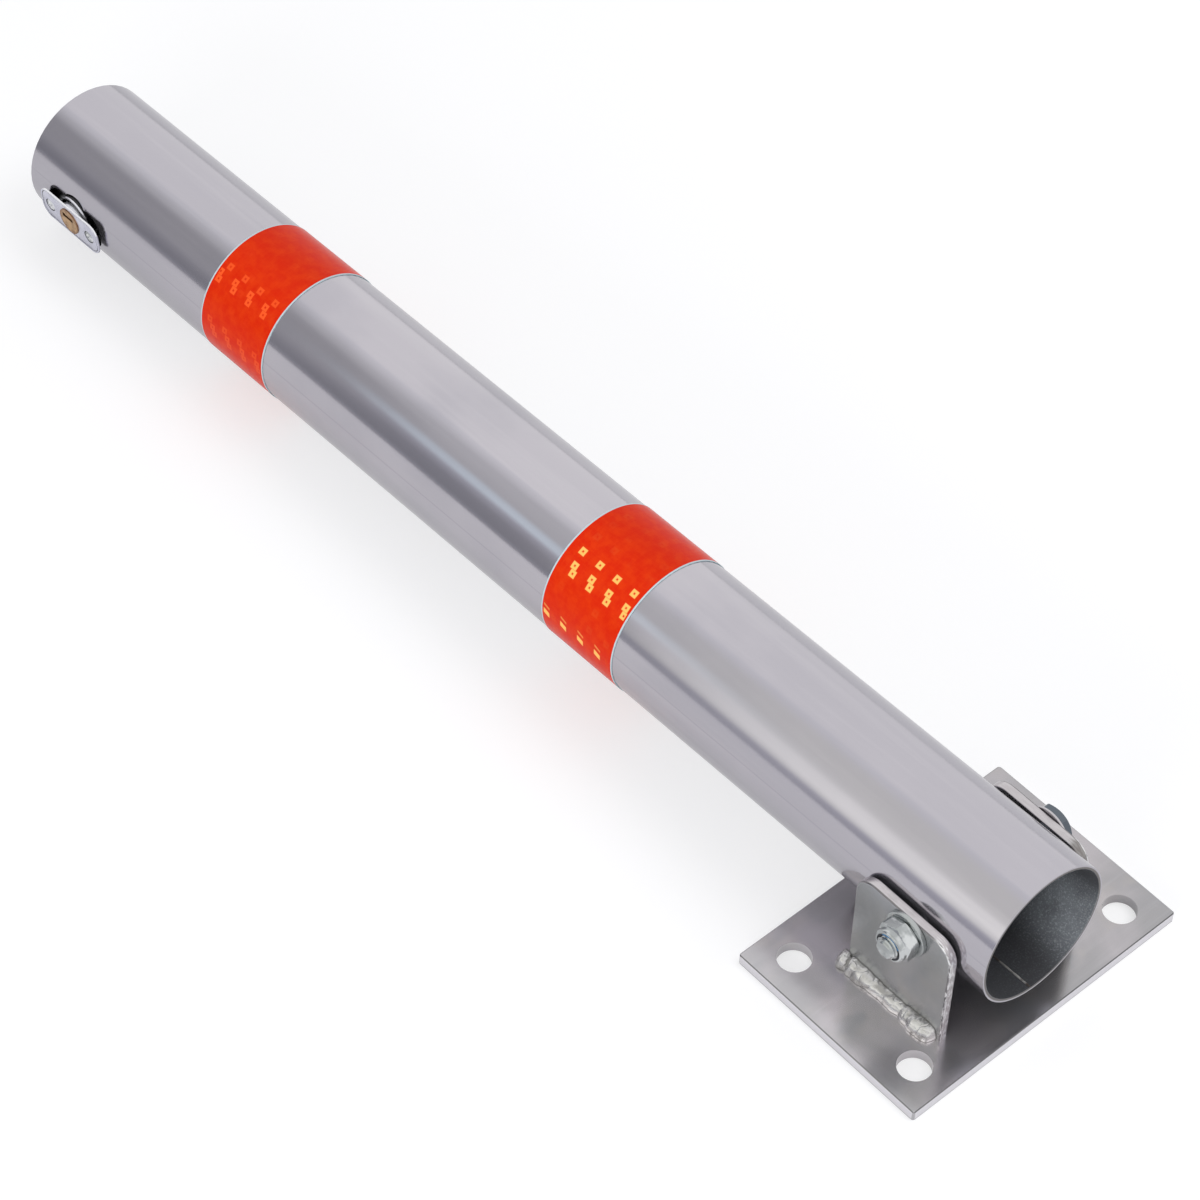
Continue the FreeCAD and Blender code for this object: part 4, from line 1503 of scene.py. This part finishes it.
@dataclass
class WeldBead:
    """Hand-laid fillet bead between an ear's outside foot and the plate."""

    name: str
    node: str
    wall: float
    side: float
    seed: float
    floor: float = 6.0 * MM
    legs: tuple[tuple[float, float], ...] = (
        (-27.0, 5.8), (-25.2, 6.7), (-22.5, 7.0), (-20.0, 6.2), (-17.0, 6.9), (-11.0, 6.8), (-4.0, 5.9),
        (2.0, 5.2), (9.0, 5.4), (15.0, 5.2), (19.0, 5.9), (24.0, 6.8), (30.0, 6.8), (34.0, 5.8),
        (35.6, 4.6))
    start_reach: float = 3.6
    end_reach: float = 2.4
    squareness: float = 2.25
    toe_sink: float = 0.25
    root: float = 0.6
    bow: float = 5.2
    crack_x: float = -19.6
    crack_depth: float = 1.5
    crack_width: float = 0.55
    ripple_pitch: float = 3.6
    ripple_height: float = 0.18
    lump_height: float = 0.45
    scale_height: float = 0.24
    along: int = 300
    across: int = 44

    def leg(self, x: float) -> float:
        """Leg of the bead in mm.

        Args:
            x: Place along the bead in mm.

        Returns:
            The leg's length, smoothed between the stations and drawn in at both ends.
        """
        value = self.legs[-1][1]
        for (x0, leg0), (x1, leg1) in zip(self.legs, self.legs[1:]):
            if x <= x1:
                part = min(1.0, max(0.0, (x - x0) / (x1 - x0)))
                part = part * part * (3.0 - 2.0 * part)
                value = leg0 + (leg1 - leg0) * part
                break
        start, end = self.legs[0][0], self.legs[-1][0]
        for gap, reach in ((x - start, self.start_reach), (end - x, self.end_reach)):
            if gap < reach:
                value *= math.sqrt(max(0.02, 1.0 - (1.0 - gap / reach) ** 2))
        return value

    def swell(self, x: float, part: float) -> float:
        """Height of the bead's own relief in mm.

        Args:
            x: Place along the bead in mm.
            part: 0 at the ear, 1 at the plate.

        Returns:
            The height, negative in the crack.
        """
        wander = noise.noise(Vector((x * 0.22, part * 1.7, self.seed)))
        phase = (x + self.bow * (part - 0.5) ** 2 + 1.3 * wander) / self.ripple_pitch
        phase -= math.floor(phase)
        patch = noise.noise(Vector((x * 0.09, part * 2.0, self.seed + 7.0)))
        strength = 0.35 + 0.65 * max(0.0, patch + 0.55)
        ripple = self.ripple_height * strength * (1.0 - (2.0 * phase - 1.0) ** 2)
        lump = self.lump_height * noise.noise(Vector((x * 0.24, part * 2.2, self.seed + 3.0)))
        spot = Vector((x * 0.20 + 0.3 * wander, part * 1.5 + 0.08 * x, self.seed + 11.0))
        far, points = noise.voronoi(spot)
        crease = 1.0 - math.exp(-5.0 * (far[1] - far[0]))
        step = noise.noise(points[0] * 3.7 + Vector((0.31, 0.17, 0.53)))
        scale = self.scale_height * (crease * (0.75 + 0.6 * step) + 1.1 * step - 0.6)
        scale *= 0.35 + 0.65 * min(1.0, abs(x + 24.0) / 8.0)
        jag = 0.5 * noise.noise(Vector((part * 5.0, 0.0, self.seed)))
        crack = x - self.crack_x - 1.6 * (part - 0.5) + jag
        cut = self.crack_depth * math.exp(-(crack / self.crack_width) ** 2) * (1.0 - 0.6 * part)
        return ripple + lump + scale - cut

    def section(self, x: float) -> list[Vector]:
        """Closed cross-section of the bead.

        Args:
            x: Place along the bead in mm.

        Returns:
            Its points in the row frame, the last ones inside the ear and the plate.
        """
        leg = self.leg(x)
        fade = min(1.0, leg / 4.0)
        points = []
        power = 2.0 / self.squareness
        for index in range(self.across):
            part = index / (self.across - 1)
            angle = math.pi / 2.0 * part
            out, up = math.sin(angle), math.cos(angle)
            height = self.swell(x, part) * fade
            y = leg * out ** power + height * out - self.toe_sink * (1.0 - part)
            z = leg * up ** power + height * up - self.toe_sink * part
            points.append(Vector((x * MM, self.wall + self.side * y * MM, self.floor + z * MM)))
        points.append(Vector((x * MM, self.wall - self.side * self.root * MM, self.floor - self.root * MM)))
        return points

    def build(self, material: bpy.types.Material) -> None:
        """Builds the bead and puts it in place.

        Args:
            material: The weld's finish.
        """
        start, end = self.legs[0][0], self.legs[-1][0]
        loops = []
        for index in range(self.along + 1):
            part = index / self.along
            x = start + (end - start) * (0.5 - 0.5 * math.cos(math.pi * part) + part) / 2.0
            loops.append(self.section(x))
        build = bmesh.new()
        add_loops(build, loops, ring=False)
        bead = new_mesh_object(self.name, build)
        soften(bead.data, 60.0)
        bead.data.materials.append(material)
        place_piece(bead, Body.BASE, Slot.WELD, self.node)


@dataclass
class HingeFasteners:
    """Hinge bolt with its threaded tip, the self-locking nut and the two washers."""

    nut_turn: float = 23.0
    head_turn: float = 0.0
    nut_height: float = 7.0 * MM
    collar_r: float = 8.9 * MM
    collar_height: float = 3.2 * MM
    ring_seat_r: float = 7.1 * MM
    ring_depth: float = 2.25 * MM
    head_height: float = 5.0 * MM
    tip: float = -60.2 * MM
    core_r: float = 5.35 * MM
    pitch: float = 1.75 * MM
    washer_r: float = 12.0 * MM
    washer_bore: float = 6.25 * MM
    washer_steps: int = 4
    bore_gap: float = 0.06 * MM
    dome: float = 1.5 * MM
    chamfer_start: float = 9.15 * MM
    chamfer_end: float = 10.72 * MM
    chamfer_angle: float = math.radians(60.0)
    chamfer_depths: tuple[float, ...] = (0.06, 0.15, 0.3, 0.5, 0.7, 0.9)
    collar_profile: tuple[tuple[float, float], ...] = ((9.05, 0.03), (8.95, 0.12), (8.9, 0.4), (8.9, 1.6))
    lip_profile: tuple[tuple[float, float], ...] = ((7.32, 0.0), (7.18, 0.08), (7.1, 0.3))
    tip_profile: tuple[tuple[float, float], ...] = (
        (2.2, 0.0), (4.0, 0.02), (4.35, 0.12), (4.55, 0.32), (5.3, 1.1), (5.35, 1.3), (5.35, 10.2),
        (6.0, 10.9))
    thread_start: float = 1.5 * MM
    thread_length: float = 8.2 * MM
    thread_ridge: float = 0.65 * MM
    thread_points: int = 40
    steps: int = 96

    def hex_radius(self, angle: float, turn: float, limit: float) -> float:
        """Radius of a hexagon whose corners are turned off.

        Args:
            angle: Direction in degrees, from +X towards +Z.
            turn: Direction of a corner in degrees.
            limit: Radius that a chamfer leaves.

        Returns:
            The radius in that direction.
        """
        off = math.radians((angle - turn) % 60.0 - 30.0)
        return min(HINGE.flats / 2.0 / math.cos(off), limit)

    def lathe(self, stations: list[tuple[float, float, bool]], turn: float) -> list[list[Vector]]:
        """Loops about the bolt.

        Args:
            stations: Radius or chamfer limit, place along Y, and whether the loop is a hexagon.
            turn: Direction of a hexagon's corner in degrees.

        Returns:
            The loops.
        """
        loops = []
        for limit, y, six in stations:
            loop = []
            for index in range(self.steps):
                angle = turn + 360.0 * index / self.steps
                radius = self.hex_radius(angle, turn, limit) if six else limit
                loop.append(HINGE.turned(radius, math.radians(angle), y))
            loops.append(loop)
        return loops

    def chamfer(self, face: float, way: float) -> list[tuple[float, float, bool]]:
        """Stations of a hexagon's turned-off end, from the end face inwards.

        Args:
            face: Place of the end face along Y.
            way: Direction along Y that leads into the hexagon.

        Returns:
            The stations.
        """
        slope = math.tan(self.chamfer_angle)
        stations = [(self.chamfer_start, face, True)]
        for depth in self.chamfer_depths:
            stations.append((self.chamfer_start + depth * MM * slope, face + way * depth * MM, True))
        stations.append((self.chamfer_end, face + way * 1.0 * MM, True))
        return stations

    def build_nut(self, material: bpy.types.Material) -> None:
        """Builds the nut.

        Args:
            material: The zinc finish.
        """
        seat = HINGE.nut_seat
        front = seat - self.nut_height
        end = front - self.collar_height
        bore = HINGE.bolt_r + self.bore_gap
        stations: list[tuple[float, float, bool]] = [(bore, seat, False)]
        stations += self.chamfer(seat, -1.0)
        stations += list(reversed(self.chamfer(front, 1.0)))
        for radius, depth in self.collar_profile:
            stations.append((radius * MM, front - depth * MM, False))
        for index in range(1, 10):
            angle = math.radians(10.0 * index)
            stations.append((self.collar_r - self.dome * (1.0 - math.cos(angle)) * 0.95,
                             end + self.dome * (1.0 - math.sin(angle)), False))
        for radius, depth in self.lip_profile:
            stations.append((radius * MM, end + depth * MM, False))
        stations.append((self.ring_seat_r, end + self.ring_depth, False))
        stations.append((bore, end + self.ring_depth, False))
        build = bmesh.new()
        add_loops(build, self.lathe(stations, self.nut_turn), ring=True)
        nut = new_mesh_object("locking_nut", build)
        nut.data.materials.append(material)
        place_piece(nut, Body.BASE, Slot.FASTENER, "hinge_nut")

    def build_washer(self, name: str, node: str, low: float, high: float, soft: float,
                     material: bpy.types.Material) -> None:
        """Builds a washer with rolled edges.

        Args:
            name: The piece's name.
            node: The CAD node that it replaces.
            low: Its lower face along Y.
            high: Its upper face along Y.
            soft: Radius of its edges.
            material: The zinc finish.
        """
        stations = []
        for middle_r, middle_y, first in ((self.washer_r - soft, low + soft, 270.0),
                                          (self.washer_r - soft, high - soft, 0.0),
                                          (self.washer_bore + soft, high - soft, 90.0),
                                          (self.washer_bore + soft, low + soft, 180.0)):
            for index in range(self.washer_steps + 1):
                angle = math.radians(first + 90.0 * index / self.washer_steps)
                stations.append((middle_r + soft * math.cos(angle),
                                 middle_y + soft * math.sin(angle), False))
        build = bmesh.new()
        add_loops(build, self.lathe(stations, 0.0), ring=True)
        washer = new_mesh_object(name, build)
        washer.data.materials.append(material)
        place_piece(washer, Body.BASE, Slot.FASTENER, node)

    def thread_tree(self, material: bpy.types.Material) -> ShapeTree:
        """Tree that winds the thread's ridge round the bolt's tip.

        Args:
            material: The zinc finish.

        Returns:
            The tree.
        """
        tree = ShapeTree("bolt_thread")
        pitch = tree.size("Pitch", self.pitch)
        length = tree.size("Length", self.thread_length)
        radius = tree.size("Core Radius", self.core_r)
        ridge = tree.size("Ridge", self.thread_ridge)
        start = tree.size("Start Y", POST.pivot[1] + self.tip + self.thread_start)
        per_turn = tree.size("Points Per Turn", self.thread_points)
        coil = tree.add("GeometryNodeCurveSpiral", in_0=per_turn, in_1=tree.math("DIVIDE", length, pitch),
                        in_2=radius, in_3=radius, in_4=length)
        steady = tree.add("GeometryNodeSetCurveNormal", mode="Z_UP", in_0=coil.outputs[0])
        profile = tree.add("GeometryNodeCurvePrimitiveCircle", mode="RADIUS", in_0=4, in_4=ridge)
        swept = tree.add("GeometryNodeCurveToMesh", in_0=steady.outputs[0], in_1=profile.outputs[0],
                         in_3=True)
        moved = tree.add("GeometryNodeTransform", in_0=swept.outputs[0],
                         in_1=tree.vector(POST.pivot[0], start, POST.pivot[2]))
        moved.inputs["Rotation"].default_value = (-math.pi / 2.0, 0.0, 0.0)
        tree.close(moved.outputs[0], material, joined=True)
        return tree

    def build_bolt(self, material: bpy.types.Material) -> None:
        """Builds the bolt: head, shank, threaded tip.

        Args:
            material: The zinc finish.
        """
        seat = HINGE.head_seat
        head_end = seat + self.head_height
        stations: list[tuple[float, float, bool]] = []
        for radius, depth in self.tip_profile:
            stations.append((radius * MM, self.tip + depth * MM, False))
        stations.append((HINGE.bolt_r, seat, False))
        stations += self.chamfer(seat, 1.0)
        stations += list(reversed(self.chamfer(head_end, -1.0)))
        for radius in (8.9 * MM, 4.0 * MM):
            stations.append((radius, head_end + 0.02 * MM, False))
        build = bmesh.new()
        add_loops(build, self.lathe(stations, self.head_turn), ring=False)
        bolt = new_mesh_object("threaded_hinge_bolt", build)
        bolt = self.thread_tree(material).run(bolt, material)
        place_piece(bolt, Body.BASE, Slot.FASTENER, "hinge_bolt")

    def build(self, material: bpy.types.Material) -> None:
        """Builds the nut, the washers and the bolt.

        Args:
            material: The zinc finish.
        """
        self.build_nut(material)
        pressed = ZincFastener("washer_zinc", (0.46, 0.48, 0.48, 1.0), roughness=0.24).material()
        self.build_washer("nut_side_washer", "nut_washer", HINGE.nut_seat, HINGE.near_ear_outer,
                          0.45 * MM, pressed)
        # This washer's far colour is its own colour, so it gets no painted shade.
        pale = ZincFastener("far_washer_zinc", (0.56, 0.54, 0.56, 1.0), (0.50, 0.48, 0.50, 1.0),
                            far=(0.56, 0.54, 0.56, 1.0), roughness=0.24).material()
        self.build_washer("head_side_washer", "head_washer", HINGE.far_ear_outer, HINGE.head_seat,
                          0.3 * MM, pale)
        self.build_bolt(material)


@dataclass
class Base:
    """Base plate, ears, their welds and the hinge bolt with its nut and washers."""

    plate: RolledPlate = field(default_factory=RolledPlate)
    ear: RolledPlate = field(default_factory=lambda: RolledPlate(
        "ear_plate", color=(0.43, 0.432, 0.43, 1.0), dark=(0.35, 0.36, 0.37, 1.0),
        warm=(0.425, 0.40, 0.375, 1.0), roughness=(0.18, 0.25), shade_gradient=(1.0, 1.0)))
    weld: WeldMetal = field(default_factory=WeldMetal)
    zinc: ZincFastener = field(default_factory=ZincFastener)
    nylon: NylonRing = field(default_factory=NylonRing)
    fasteners: HingeFasteners = field(default_factory=HingeFasteners)

    def build(self) -> None:
        """Builds and dresses the base's pieces."""
        dress_node("base_plate", self.plate.material())
        ear = self.ear.material()
        edge = EarRim("ear_edge", (0.21, 0.20, 0.21, 1.0), roughness=0.12, metallic=1.0).material()
        near_rim = EarRim().material()
        EarPlate("near_ear_plate", "near_ear", HINGE.near_ear_outer, -1.0).build(ear, near_rim, edge)
        far_rim = EarRim("far_ear_rim", dark_reflection_level=0.8).material()
        EarPlate("far_ear_plate", "far_ear", HINGE.far_ear_outer, 1.0).build(ear, far_rim, edge)
        weld = self.weld.material()
        axis_y = POST.pivot[1]
        WeldBead("near_weld_bead", "near_ear_weld", axis_y + HINGE.near_ear_outer, -1.0, 2.0).build(weld)
        WeldBead("far_weld_bead", "far_ear_weld", axis_y + HINGE.far_ear_outer, 1.0, 31.0).build(weld)
        self.fasteners.build(self.zinc.material())
        inner = InnerSteel("spacer_steel").material()
        for node in ("near_spacer", "far_spacer"):
            dress_node(node, inner)
        dress_node("nut_ring", self.nylon.material())


@dataclass
class BoreSeam:
    """The tube's own weld, a low uneven bead along its bore."""

    start_x: float = -554.0 * MM
    end_x: float = 40.6 * MM
    turn: float = 173.5
    bore_r: float = 36.0 * MM
    bead_r: float = 0.55 * MM
    points: int = 600
    unevenness: float = 0.9
    seed: float = 4.0
    ripple_scale: float = 260.0

    def build(self, material: bpy.types.Material) -> None:
        """Builds the seam and puts it in place.

        Args:
            material: The seam's finish.
        """
        tree = ShapeTree("bore_seam")
        count = tree.size("Points", self.points)
        width = tree.size("Bead Radius", self.bead_r)
        uneven = tree.size("Unevenness", self.unevenness)
        seed = tree.size("Seed", self.seed)
        angle = math.radians(self.turn)
        across = Vector((0.0, -self.bore_r * math.sin(angle), self.bore_r * math.cos(angle)))
        start = POST.place(Vector((self.start_x, 0.0, 0.0)) + across)
        end = POST.place(Vector((self.end_x, 0.0, 0.0)) + across)
        step = (end - start) / (self.points - 1)
        line = tree.add("GeometryNodeMeshLine", in_0=count, in_2=tuple(start), in_3=tuple(step))
        path = tree.add("GeometryNodeMeshToCurve", in_0=line.outputs[0])
        place = tree.add("GeometryNodeInputPosition").outputs[0]
        ripple = tree.add("ShaderNodeTexNoise", noise_dimensions="4D")
        tree.feed(ripple.inputs["Vector"], place)
        tree.feed(ripple.inputs["W"], seed)
        ripple.inputs["Scale"].default_value = self.ripple_scale
        ripple.inputs["Detail"].default_value = 3.0
        spread = tree.math("MULTIPLY", tree.math("SUBTRACT", ripple.outputs[0], 0.5), uneven)
        profile = tree.add("GeometryNodeCurvePrimitiveCircle", mode="RADIUS", in_0=10, in_4=width)
        swept = tree.add("GeometryNodeCurveToMesh", in_0=path.outputs[0], in_1=profile.outputs[0],
                         in_2=tree.math("ADD", 1.0, spread), in_3=True)
        tree.close(swept.outputs[0], material, joined=False)
        holder = bpy.data.objects.new("bore_seam_bead", bpy.data.meshes.new("bore_seam_bead"))
        bpy.context.scene.collection.objects.link(holder)
        seam = tree.run(holder, material)
        place_piece(seam, Body.POST, Slot.TUBE)


@dataclass
class Post:
    """Tube with its cap, seam and reflective tapes, and the steel parts inside it."""

    tube: GalvanisedTube = field(default_factory=GalvanisedTube)
    cap: GalvanisedTube = field(default_factory=lambda: GalvanisedTube("galvanised_cap", bore_r=0.0))
    inner: InnerSteel = field(default_factory=InnerSteel)
    seam: BoreSeam = field(default_factory=BoreSeam)
    lower_tape: PrismTape = field(default_factory=lambda: PrismTape(
        name="lower_tape_film",
        rows=(SparkRow(29.5, -16.6 * MM), SparkRow(44.0, -14.8 * MM, pair=True),
              SparkRow(89.5, -21.6 * MM, dash=True))))
    upper_tape: PrismTape = field(default_factory=lambda: PrismTape(
        name="upper_tape_film", centre=-500.0 * MM, spark=(1.0, 0.13, 0.025, 1.0), faint=0.10,
        rows=(SparkRow(33.0, -7.0 * MM, level=0.55), SparkRow(43.0, -10.0 * MM, pair=True, level=0.75),
              SparkRow(79.0, -18.0 * MM, level=0.35), SparkRow(88.0, -15.0 * MM, pair=True, level=0.45))))

    def build(self) -> None:
        """Builds and dresses the post's pieces."""
        dress_node("post_tube", self.tube.material())
        dress_node("end_cap", self.cap.material())
        self.seam.build(SeamMetal().material())
        inner = self.inner.material()
        for node in ("rod_guide", "lock_strap", "lock_case", "lock_tongue", "rod_eye", "pull_rod",
                     "catch_plate"):
            dress_node(node, inner)
        dress_node("lower_tape", self.lower_tape.material())
        dress_node("upper_tape", self.upper_tape.material())


@dataclass
class LockFace:
    """Face of the lock: a rounded plate with a raised lip and its three holes."""

    half_length: float = 25.0 * MM
    half_width: float = 9.75 * MM
    corner: float = 6.8 * MM
    field_depth: float = 0.08 * MM
    plug_hole: float = 7.76 * MM
    screw_x: float = 17.0 * MM
    screw_hole: float = 3.8 * MM
    screw_neck: float = 2.6 * MM
    lip_depth: float = 0.26 * MM
    corner_steps: int = 12
    upward: float = 0.35
    screw_steps: int = 48
    screw_turns: tuple[float, float] = (20.0, 38.0)
    shank_profile: tuple[tuple[float, float], ...] = (
        (0.4, -11.05), (2.0, -10.9), (2.0, -1.3), (3.2, -0.55), (3.35, -0.35))
    dome_r: float = 3.35
    dome_height: float = 0.42
    recess_depth: float = 0.55
    recess_r: float = 2.4
    recess_half: float = 0.5

    def outline(self, inset: float, height: float) -> list[Vector]:
        """Rounded rectangle at a height.

        Args:
            inset: How far it lies inside the plate's outline.
            height: Distance from the tube's axis.

        Returns:
            Its points, anticlockwise seen from outside.
        """
        radius = max(self.corner - inset, 0.6 * MM)
        reach = (self.half_length - inset - radius, self.half_width - inset - radius)
        points = []
        signs = ((1.0, 1.0), (-1.0, 1.0), (-1.0, -1.0), (1.0, -1.0))
        for quarter, (sign_u, sign_v) in enumerate(signs):
            for index in range(self.corner_steps + 1):
                angle = math.radians(90.0 * quarter + 90.0 * index / self.corner_steps)
                points.append(LOCK.at(sign_u * reach[0] + radius * math.cos(angle),
                                      sign_v * reach[1] + radius * math.sin(angle), height))
        return points

    def circle(self, u: float, radius: float, height: float, steps: int = 48) -> list[Vector]:
        """Circle about a hole's axis."""
        turns = [2.0 * math.pi * index / steps for index in range(steps)]
        return [LOCK.at(u + radius * math.cos(t), radius * math.sin(t), height) for t in turns]

    def skin(self, build: bmesh.types.BMesh, loops: list[list[Vector]]) -> tuple[list, list]:
        """Joins loops into an open band.

        Args:
            build: The mesh to add to.
            loops: The loops, in order.

        Returns:
            The vertices of the first and of the last loop.
        """
        rows = [[build.verts.new(point) for point in loop] for loop in loops]
        for one, two in zip(rows, rows[1:]):
            for index in range(len(one)):
                after = (index + 1) % len(one)
                build.faces.new((one[index], one[after], two[after], two[index]))
        return rows[0], rows[-1]

    def close(self, build: bmesh.types.BMesh, rings: list[list]) -> None:
        """Fills the flat face between an outline and its holes.

        Args:
            build: The mesh to add to.
            rings: Vertices of the outline and of each hole.
        """
        back = LOCK.matrix().inverted()
        corners, owners, edges = [], [], []
        for number, ring in enumerate(rings):
            first = len(corners)
            for index in range(len(ring)):
                edges.append((first + index, first + (index + 1) % len(ring)))
            corners += ring
            owners += [number] * len(ring)
        flat = [(back @ corner.co).xy / MM for corner in corners]
        found = geometry.delaunay_2d_cdt(flat, edges, [], 0, 1e-5)
        for triangle in found[2]:
            places = [found[3][index][0] for index in triangle]
            rings_met = {owners[place] for place in places}
            if len(rings_met) > 1 or rings_met == {0}:
                build.faces.new([corners[place] for place in places])

    def build(self, material: bpy.types.Material, edge: bpy.types.Material) -> None:
        """Builds the face and puts it in place.

        Args:
            material: The zinc finish.
            edge: Finish with a painted highlight, for the wall that faces up.
        """
        build = bmesh.new()
        front, back = LOCK.front, LOCK.back
        field_height = front - self.field_depth
        groove = front - self.lip_depth
        stations = ((0.3, back), (0.0, back + 0.25 * MM), (0.0, front - 0.3 * MM),
                    (0.09, front - 0.09 * MM), (0.3, front), (0.95, front), (1.03, front - 0.06 * MM),
                    (1.1, groove), (1.5, groove), (1.6, field_height - 0.04 * MM), (1.68, field_height))
        first, last = self.skin(build, [self.outline(inset * MM, height) for inset, height in stations])
        front_rings, back_rings = [last], [first]
        one, two = self.skin(build, [self.circle(0.0, self.plug_hole, field_height),
                                     self.circle(0.0, self.plug_hole, back)])
        front_rings.append(one)
        back_rings.append(two)
        for u in (-self.screw_x, self.screw_x):
            one, two = self.skin(build, [self.circle(u, self.screw_hole, field_height, 32),
                                         self.circle(u, self.screw_hole, field_height - 0.25 * MM, 32),
                                         self.circle(u, self.screw_neck, back, 32)])
            front_rings.append(one)
            back_rings.append(two)
        self.close(build, front_rings)
        self.close(build, back_rings)
        face = new_mesh_object("lock_face", build)
        face.data.materials.append(material)
        face.data.materials.append(edge)
        up = Vector(LOCK.up)
        to_lock = LOCK.matrix().inverted()
        # Faces of the lip that look up get the painted highlight.
        for polygon in face.data.polygons:
            height = (to_lock @ polygon.center).y
            if polygon.normal.dot(up) > self.upward and height > 0.0:
                polygon.material_index = 1
        place_piece(face, Body.POST, Slot.LOCK, "lock_faceplate")

    def recess(self, radius: float, depth: float, angle: float) -> float:
        """Depth of a screw head's cross recess at one point, in mm.

        Args:
            radius: Distance from the screw's axis in mm.
            depth: Height from the lock's front in mm.
            angle: Direction from one arm of the cross.

        Returns:
            The recess's depth inside the cross, else 0.
        """
        arm = min(abs(math.sin(angle)), abs(math.cos(angle))) * radius
        on_dome = depth >= self.shank_profile[-1][1]
        inside = on_dome and radius < self.recess_r and arm < self.recess_half
        return self.recess_depth if inside else 0.0

    def build_screws(self, material: bpy.types.Material) -> None:
        """Builds both screws with their low domed heads and cross recesses.

        Args:
            material: The zinc finish.
        """
        build = bmesh.new()
        seat = self.shank_profile[-1][1]
        stations = list(self.shank_profile)
        for index in range(1, 7):
            angle = math.radians(15.0 * index)
            stations.append((self.dome_r * math.cos(angle) + 0.02,
                             seat + self.dome_height * math.sin(angle)))
        for u, turn in zip((-self.screw_x, self.screw_x), self.screw_turns):
            off = math.radians(turn)
            loops = []
            for radius, depth in stations:
                loop = []
                for index in range(self.screw_steps):
                    angle = 2.0 * math.pi * index / self.screw_steps
                    sink = self.recess(radius, depth, angle - off)
                    loop.append(LOCK.at(u + radius * MM * math.cos(angle), radius * MM * math.sin(angle),
                                        LOCK.front + (depth - sink) * MM))
                loops.append(loop)
            add_loops(build, loops, ring=False)
        screws = new_mesh_object("lock_face_screws", build)
        screws.data.materials.append(material)
        place_piece(screws, Body.POST, Slot.FASTENER, "lock_screws")


@dataclass
class Lock:
    """Lock face, body, screws and plug."""

    # Painted shade in the face's groove.
    zinc: LockZinc = field(default_factory=lambda: LockZinc(shade_below=LOCK.front - 0.16 * MM))
    # Painted highlight: a near-white finish for the lip's wall that faces up.
    edge: LockZinc = field(default_factory=lambda: LockZinc(
        "lock_highlight_zinc", color=(0.95, 0.95, 0.96, 1.0), shade=(0.86, 0.86, 0.90, 1.0)))
    # Painted shade on the body deep inside the cut-out.
    body: LockZinc = field(default_factory=lambda: LockZinc(
        "lock_body_zinc", color=(0.86, 0.86, 0.90, 1.0), shade=(0.76, 0.76, 0.82, 1.0),
        shade_below=LOCK.back - 2.9 * MM, shade_reach=(40.0 * MM, 40.0 * MM)))
    screw: ZincFastener = field(default_factory=lambda: ZincFastener(
        "lock_screw_zinc", (0.82, 0.83, 0.85, 1.0), roughness=0.16))
    brass: TurnedBrass = field(default_factory=TurnedBrass)
    face: LockFace = field(default_factory=LockFace)

    def build(self) -> None:
        """Builds and dresses the lock's pieces."""
        self.face.build(self.zinc.material(), self.edge.material())
        self.face.build_screws(self.screw.material())
        dress_node("lock_body", self.body.material())
        dress_node("lock_plug", self.brass.material())


def main() -> None:
    """Builds the looks piece by piece."""
    logging.basicConfig(level=logging.INFO, format="%(message)s")
    bpy.context.scene.view_settings.view_transform = "Standard"
    PhotoCamera().build()
    Studio().build()
    Base().build()
    Post().build()
    Lock().build()


if __name__ == "__main__":
    main()
